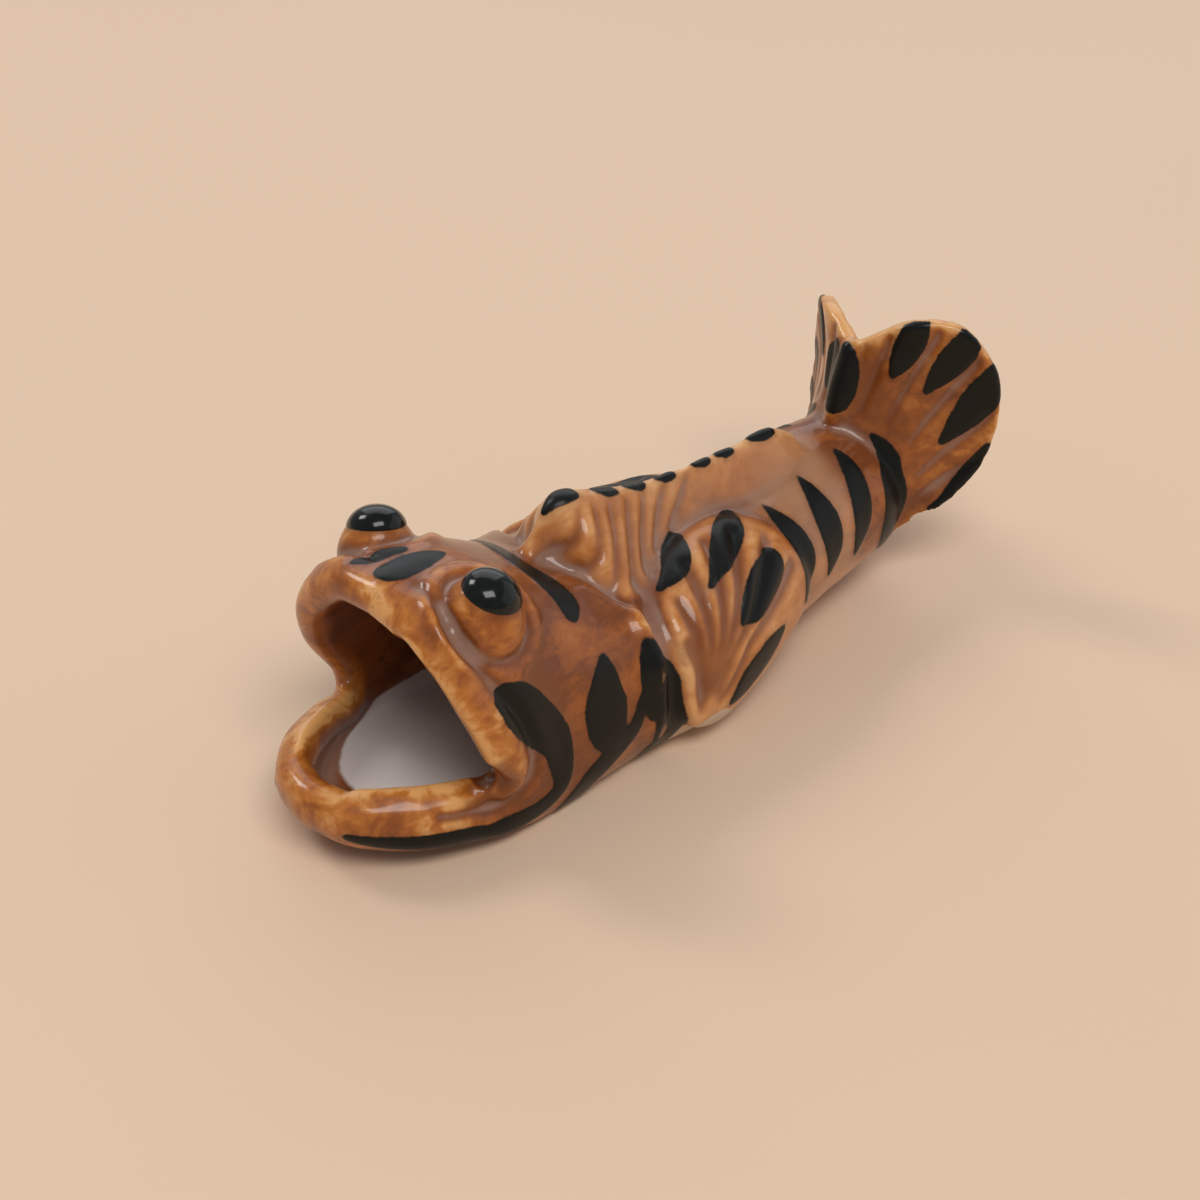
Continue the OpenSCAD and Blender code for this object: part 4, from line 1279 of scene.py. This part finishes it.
def bare_clay():
    """Fired clay with no glaze, with fine grain and darker specks."""
    clay = Finish("bare_foot_clay")
    grain, specks = clay.cloud(0.35, 4.0), clay.cloud(0.8, 1.0)
    color = clay.tint(grain.from_to(0.3, 0.7), CLAY_GRAIN, BARE_CLAY)
    color = clay.tint(specks.from_to(0.72, 0.8), color, CLAY_SPECK)
    clay.set(Base_Color=color, Roughness=0.82 + 0.1 * grain,
             Normal=clay.bump(grain, 0.08, 0.8))
    return clay.material


def pale_floor():
    floor = Finish("pale_floor")
    soft = floor.cloud(180.0, 2.0)
    floor.set(Base_Color=floor.tint(soft, FLOOR, FLOOR_SHADE), Roughness=0.7 + 0.1 * soft,
              Specular_IOR_Level=0.15)
    return floor.material


# Finishes by the record's slots, and the pieces that take the honey one
finishes = {
    "amber_glaze": fish_glaze("amber_glaze"),
    "honey_glaze": fish_glaze("honey_glaze"),
    "black_glaze": black_glaze(),
    "bare_clay": bare_clay(),
}
HONEY_PIECES = ("eyeball", "pectoral", "lobe")


def place_piece(name, mesh, node, slot):
    piece = show(name, mesh)
    mesh.materials.append(finishes[slot])
    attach(piece, "root")
    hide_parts(node)


for name in pieces:
    slot = "honey_glaze" if any(kind in name for kind in HONEY_PIECES) else "amber_glaze"
    place_piece("glazed_" + name, piece_mesh(name, piece_faces[name]), name, slot)

for side, form in (("left", pupil_form(LEFT_SINK)), ("right", mirrored(pupil_form(RIGHT_SINK)))):
    mesh = worked(mesh_of("pupil", form), ("SUBSURF", {"levels": 1}))
    mesh.shade_smooth()
    place_piece("glazed_" + side + "_pupil", mesh, side + "_pupil", "black_glaze")
place_piece("bare_foot", mesh_of("foot", foot_form()), "foot", "bare_clay")

# Floor, soft light and camera
SIDE = 3.0
floor_mesh = bpy.data.meshes.new("floor")
floor_mesh.from_pydata([(-SIDE, -SIDE, 0), (SIDE, -SIDE, 0), (SIDE, SIDE, 0), (-SIDE, SIDE, 0)],
                       [], [[0, 1, 2, 3]])
floor_mesh.materials.append(pale_floor())
floor = show("floor", floor_mesh)


def soft_lamp(name, way, distance, width, height, power, color):
    lamp = bpy.data.lights.new(name, "AREA")
    lamp.shape, lamp.size, lamp.size_y = "RECTANGLE", width, height
    lamp.energy, lamp.color = power, color
    placed = bpy.data.objects.new(name, lamp)
    bpy.context.scene.collection.objects.link(placed)
    way = Vector(way).normalized()
    placed.location = way * distance
    placed.rotation_euler = (-way).to_track_quat("-Z", "Y").to_euler()


soft_lamp("window", (-0.2, 0.69, 0.69), 1.8, 0.46, 0.60, 7.5, (1.0, 0.985, 0.96))
soft_lamp("ceiling", (-0.2, -0.55, 1.0), 2.2, 1.4, 0.8, 24.0, (1.0, 0.98, 0.96))
soft_lamp("far_wall", (0.60, 0.64, 0.60), 2.6, 2.6, 2.0, 17.0, (0.94, 0.96, 1.0))
soft_lamp("side_wall", (0.74, -0.46, 0.30), 2.2, 3.0, 1.5, 5.0, (0.98, 0.98, 1.0))

world = bpy.data.worlds.new("studio")
bpy.context.scene.world = world
world.use_nodes = True
background = world.node_tree.nodes["Background"]
background.inputs["Color"].default_value = (0.93, 0.95, 1, 1)
background.inputs["Strength"].default_value = 0.3

# Where the photograph was taken from, where it looks on the floor, and its lens
CAMERA_AT = Vector((-130.8, -150.1, 154.9)) * MM
CAMERA_AIM = Vector((20.06, 11.70, 0)) * MM
LENS = 74.7
lens = bpy.data.cameras.new("camera")
lens.sensor_width = 36
lens.lens = LENS
lens.clip_start = 0.01
camera = bpy.data.objects.new("camera", lens)
bpy.context.scene.collection.objects.link(camera)
camera.location = CAMERA_AT
camera.rotation_euler = (CAMERA_AIM - CAMERA_AT).to_track_quat("-Z", "Y").to_euler()
bpy.context.scene.camera = camera
bpy.context.scene.view_settings.view_transform = "Standard"
